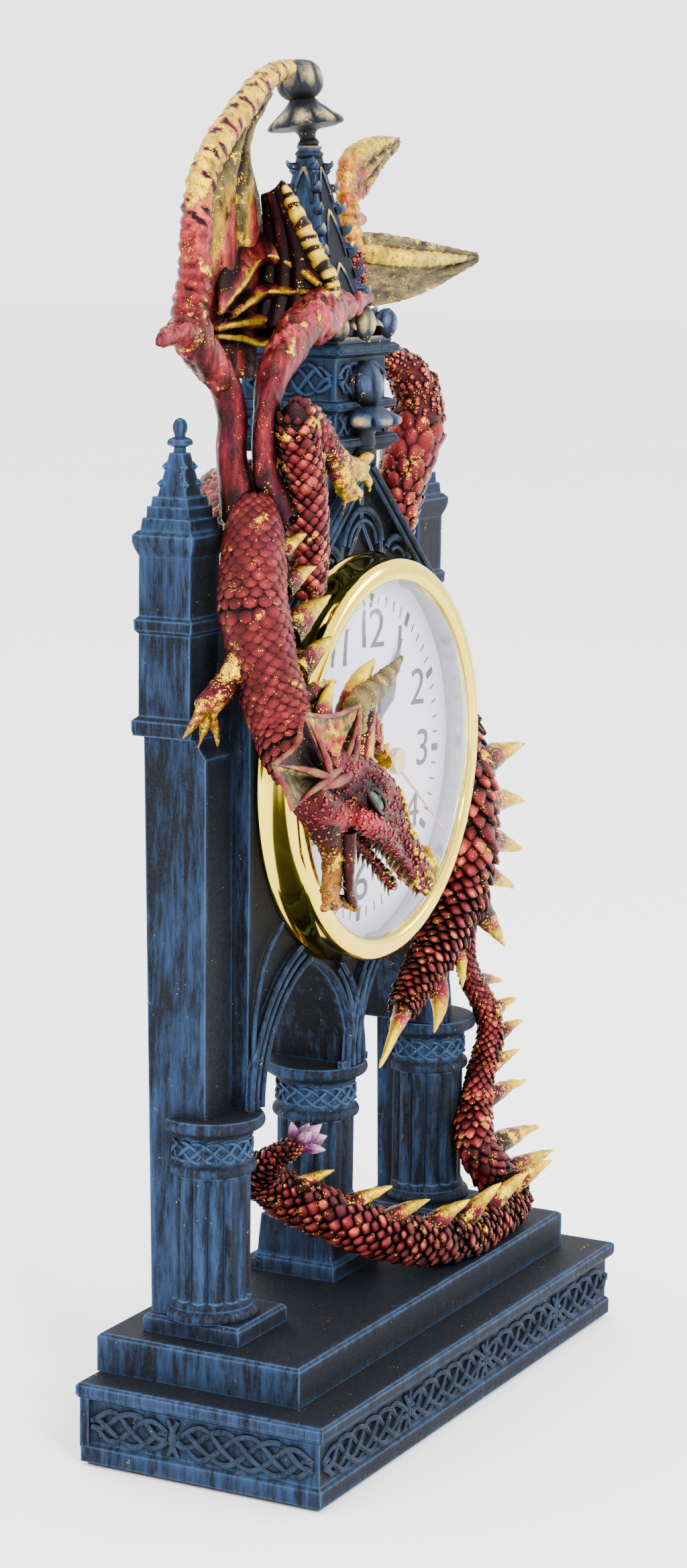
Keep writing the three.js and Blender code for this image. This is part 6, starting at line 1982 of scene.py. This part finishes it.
    def right_wing(self) -> None:
        """The shoulder, knuckle and the two bony webs that point to the right."""
        arm = Course([
            [24, 9, 191, 4.4], [26.5, 7, 204, 5], [30, 7, 211, 5.6], [33.5, 7, 217.4, 6.3],
            [35.5, 7.4, 224, 5.8], [32, 8.8, 230, 4.6], [25, 12.5, 234.5, 3.4], [20.5, 15.5, 241, 3.3],
            [18, 16, 250, 3.2], [*self.knuckle, 3.3]], 1)
        skin = mark_rise(lumpy(arm.tube(20), 3.4, 0.9), 0.3)
        lumps = self.pebble.lay("lumps", self.pebbled(skin, 1500, 0.35, 1, 52))
        lappets = self.shell.lay("lappets", arm.seats(0.62, 1.5, 20, 0.34, 0.25, seed=8))
        present(merge([skin, lumps, lappets]), "right_wing_arm", HIDE, ("dragon_wing_right",), smooth=60)
        low = Course([[*self.knuckle, 3], [30, 10.3, 255.8, 2.3], [45, 7.3, 255.4, 1.7],
                      [60, 4.2, 255.8, 0.3]], 0.5).tube(16, 0.05, 2.2)
        high = Course([[*self.knuckle, 3], [15.5, 15.5, 266, 2.5], [13.8, 15.5, 272, 2.3],
                       [15, 15.2, 277, 2.2], [24, 15.1, 280.6, 1.9],
                       [39.5, 15.3, 282.6, 0.3]], 0.5).tube(16, 0.1, 2.6)
        for finger in (low, high):
            mark_rise(finger, 0.45 + 0.4 * np.clip(spots(finger)[:, 0] / 30 - 0.3, 0, 1))
        present(lumpy(merge([low, high]), 1.8, 0.35), "right_wing_fingers", WING, smooth=60)
        thumb = thorn((15, 15.5, 264.5), (21.5, 13.8, 264.3), 2.6, (1.5, 0, 0))
        present(mark_rise(thumb, 0.8), "right_wing_thumb", SKIN, smooth=60)
        below = web([
            [(15, 15, 262), (16.5, 14.5, 257), (18, 13.5, 251), (20, 12.5, 245)],
            [(27, 11, 261.2), (29, 10.5, 256.5), (30, 10, 251), (30, 9.8, 246)],
            [(41, 8.5, 259.5), (43, 8, 256), (44, 7.6, 252.5), (44, 7.6, 249)],
            [(59, 4.5, 256.6), (59.3, 4.4, 256), (59.6, 4.3, 255.4), (60, 4.2, 254.8)]], 1.3, 0.5,
            rise=lambda u, v: 0.62 + 0.1 * u - 0.1 * v)
        above = web([
            [(12, 15, 277.5), (14, 14.5, 273), (16, 14, 268)],
            [(22, 15, 280.6), (22, 14.6, 275), (21, 14.2, 269.5)],
            [(31, 15, 281.8), (30, 14.8, 278.5), (29, 14.6, 275.5)],
            [(39.5, 15.4, 282.8), (39.5, 15.3, 281.9), (39.2, 15.2, 281)]], 1.2, 0.4,
            rise=lambda u, v: 0.5 + 0.45 * u)
        present(lumpy(below, 1.8, 0.35), "right_wing_lower_web", VANE, smooth=60)
        present(lumpy(above, 1.8, 0.35), "right_wing_upper_web", WEB, smooth=60)


@dataclass
class Studio:
    """A pale floor, soft light and the camera at the photograph's angle."""

    eye: Point = (-691.484, -352.443, 272.694)
    yaw: float = 1.0917
    pitch: float = -0.1692
    roll: float = -0.01341
    focal: float = 5254.3
    frame_height: int = 2337
    surround: float = 3.0

    def camera(self) -> None:
        """The camera, its long side upright."""
        sin, cos = math.sin, math.cos
        ahead = Vector((sin(self.yaw) * cos(self.pitch), cos(self.yaw) * cos(self.pitch), sin(self.pitch)))
        level = Vector((cos(self.yaw), -sin(self.yaw), 0))
        down = ahead.cross(level)
        right = level * cos(self.roll) + down * sin(self.roll)
        up = -(down * cos(self.roll) - level * sin(self.roll))
        data = bpy.data.cameras.new("camera")
        data.sensor_fit, data.sensor_height = "VERTICAL", 36
        data.lens = self.focal / self.frame_height * data.sensor_height
        data.clip_start, data.clip_end = 0.01, 20
        camera = bpy.data.objects.new("camera", data)
        spin = Matrix((right, up, -ahead)).transposed()
        camera.matrix_world = Matrix.Translation(Vector(self.eye) * MM) @ spin.to_4x4()
        bpy.context.scene.collection.objects.link(camera)
        bpy.context.scene.camera = camera

    def floor(self) -> None:
        """A wide flat pale floor."""
        deselect()
        bpy.ops.mesh.primitive_plane_add(size=12, location=(0, 0, -0.0002))
        floor = settle(bpy.context.object)
        floor.name = "floor"
        shade = Shade("pale_floor")
        tone = shade.mix(shade.noise(3, 2), (0.94, 0.94, 0.94), (0.96, 0.96, 0.96))
        floor.data.materials.append(shade.dress(tone, 0.8))

    def lights(self) -> None:
        """A bright even surround, a broad key from the front left and a fill from the right."""
        world = bpy.data.worlds.new("surround")
        world.use_nodes = True
        surround = world.node_tree.nodes["Background"].inputs
        surround["Color"].default_value = (1, 1, 1, 1)
        surround["Strength"].default_value = self.surround
        bpy.context.scene.world = world
        for name, place, size, power in (("key", (-0.9, -1, 0.9), 0.35, 32),
                                         ("fill", (0.9, -0.8, 0.5), 0.4, 8),
                                         ("top", (-0.1, 0.2, 1.4), 0.5, 9)):
            data = bpy.data.lights.new(name, "AREA")
            data.size, data.energy = size, power
            light = bpy.data.objects.new(name, data)
            light.location = place
            light.rotation_euler = (Vector((0, 0, 0.15)) - Vector(place)).to_track_quat("-Z", "Y").to_euler()
            bpy.context.scene.collection.objects.link(light)

    def build(self) -> None:
        """Sets the whole studio."""
        self.camera()
        self.floor()
        self.lights()


def main() -> None:
    """Builds the studio, the building, the insert and the dragon, in that order."""
    logging.basicConfig(level=logging.INFO, format="%(message)s")
    Studio().build()
    Building().build()
    Insert().build()
    Dragon(scale_stamp(1), scale_stamp(0.45), pebble_stamp()).build()


if __name__ == "__main__":
    main()
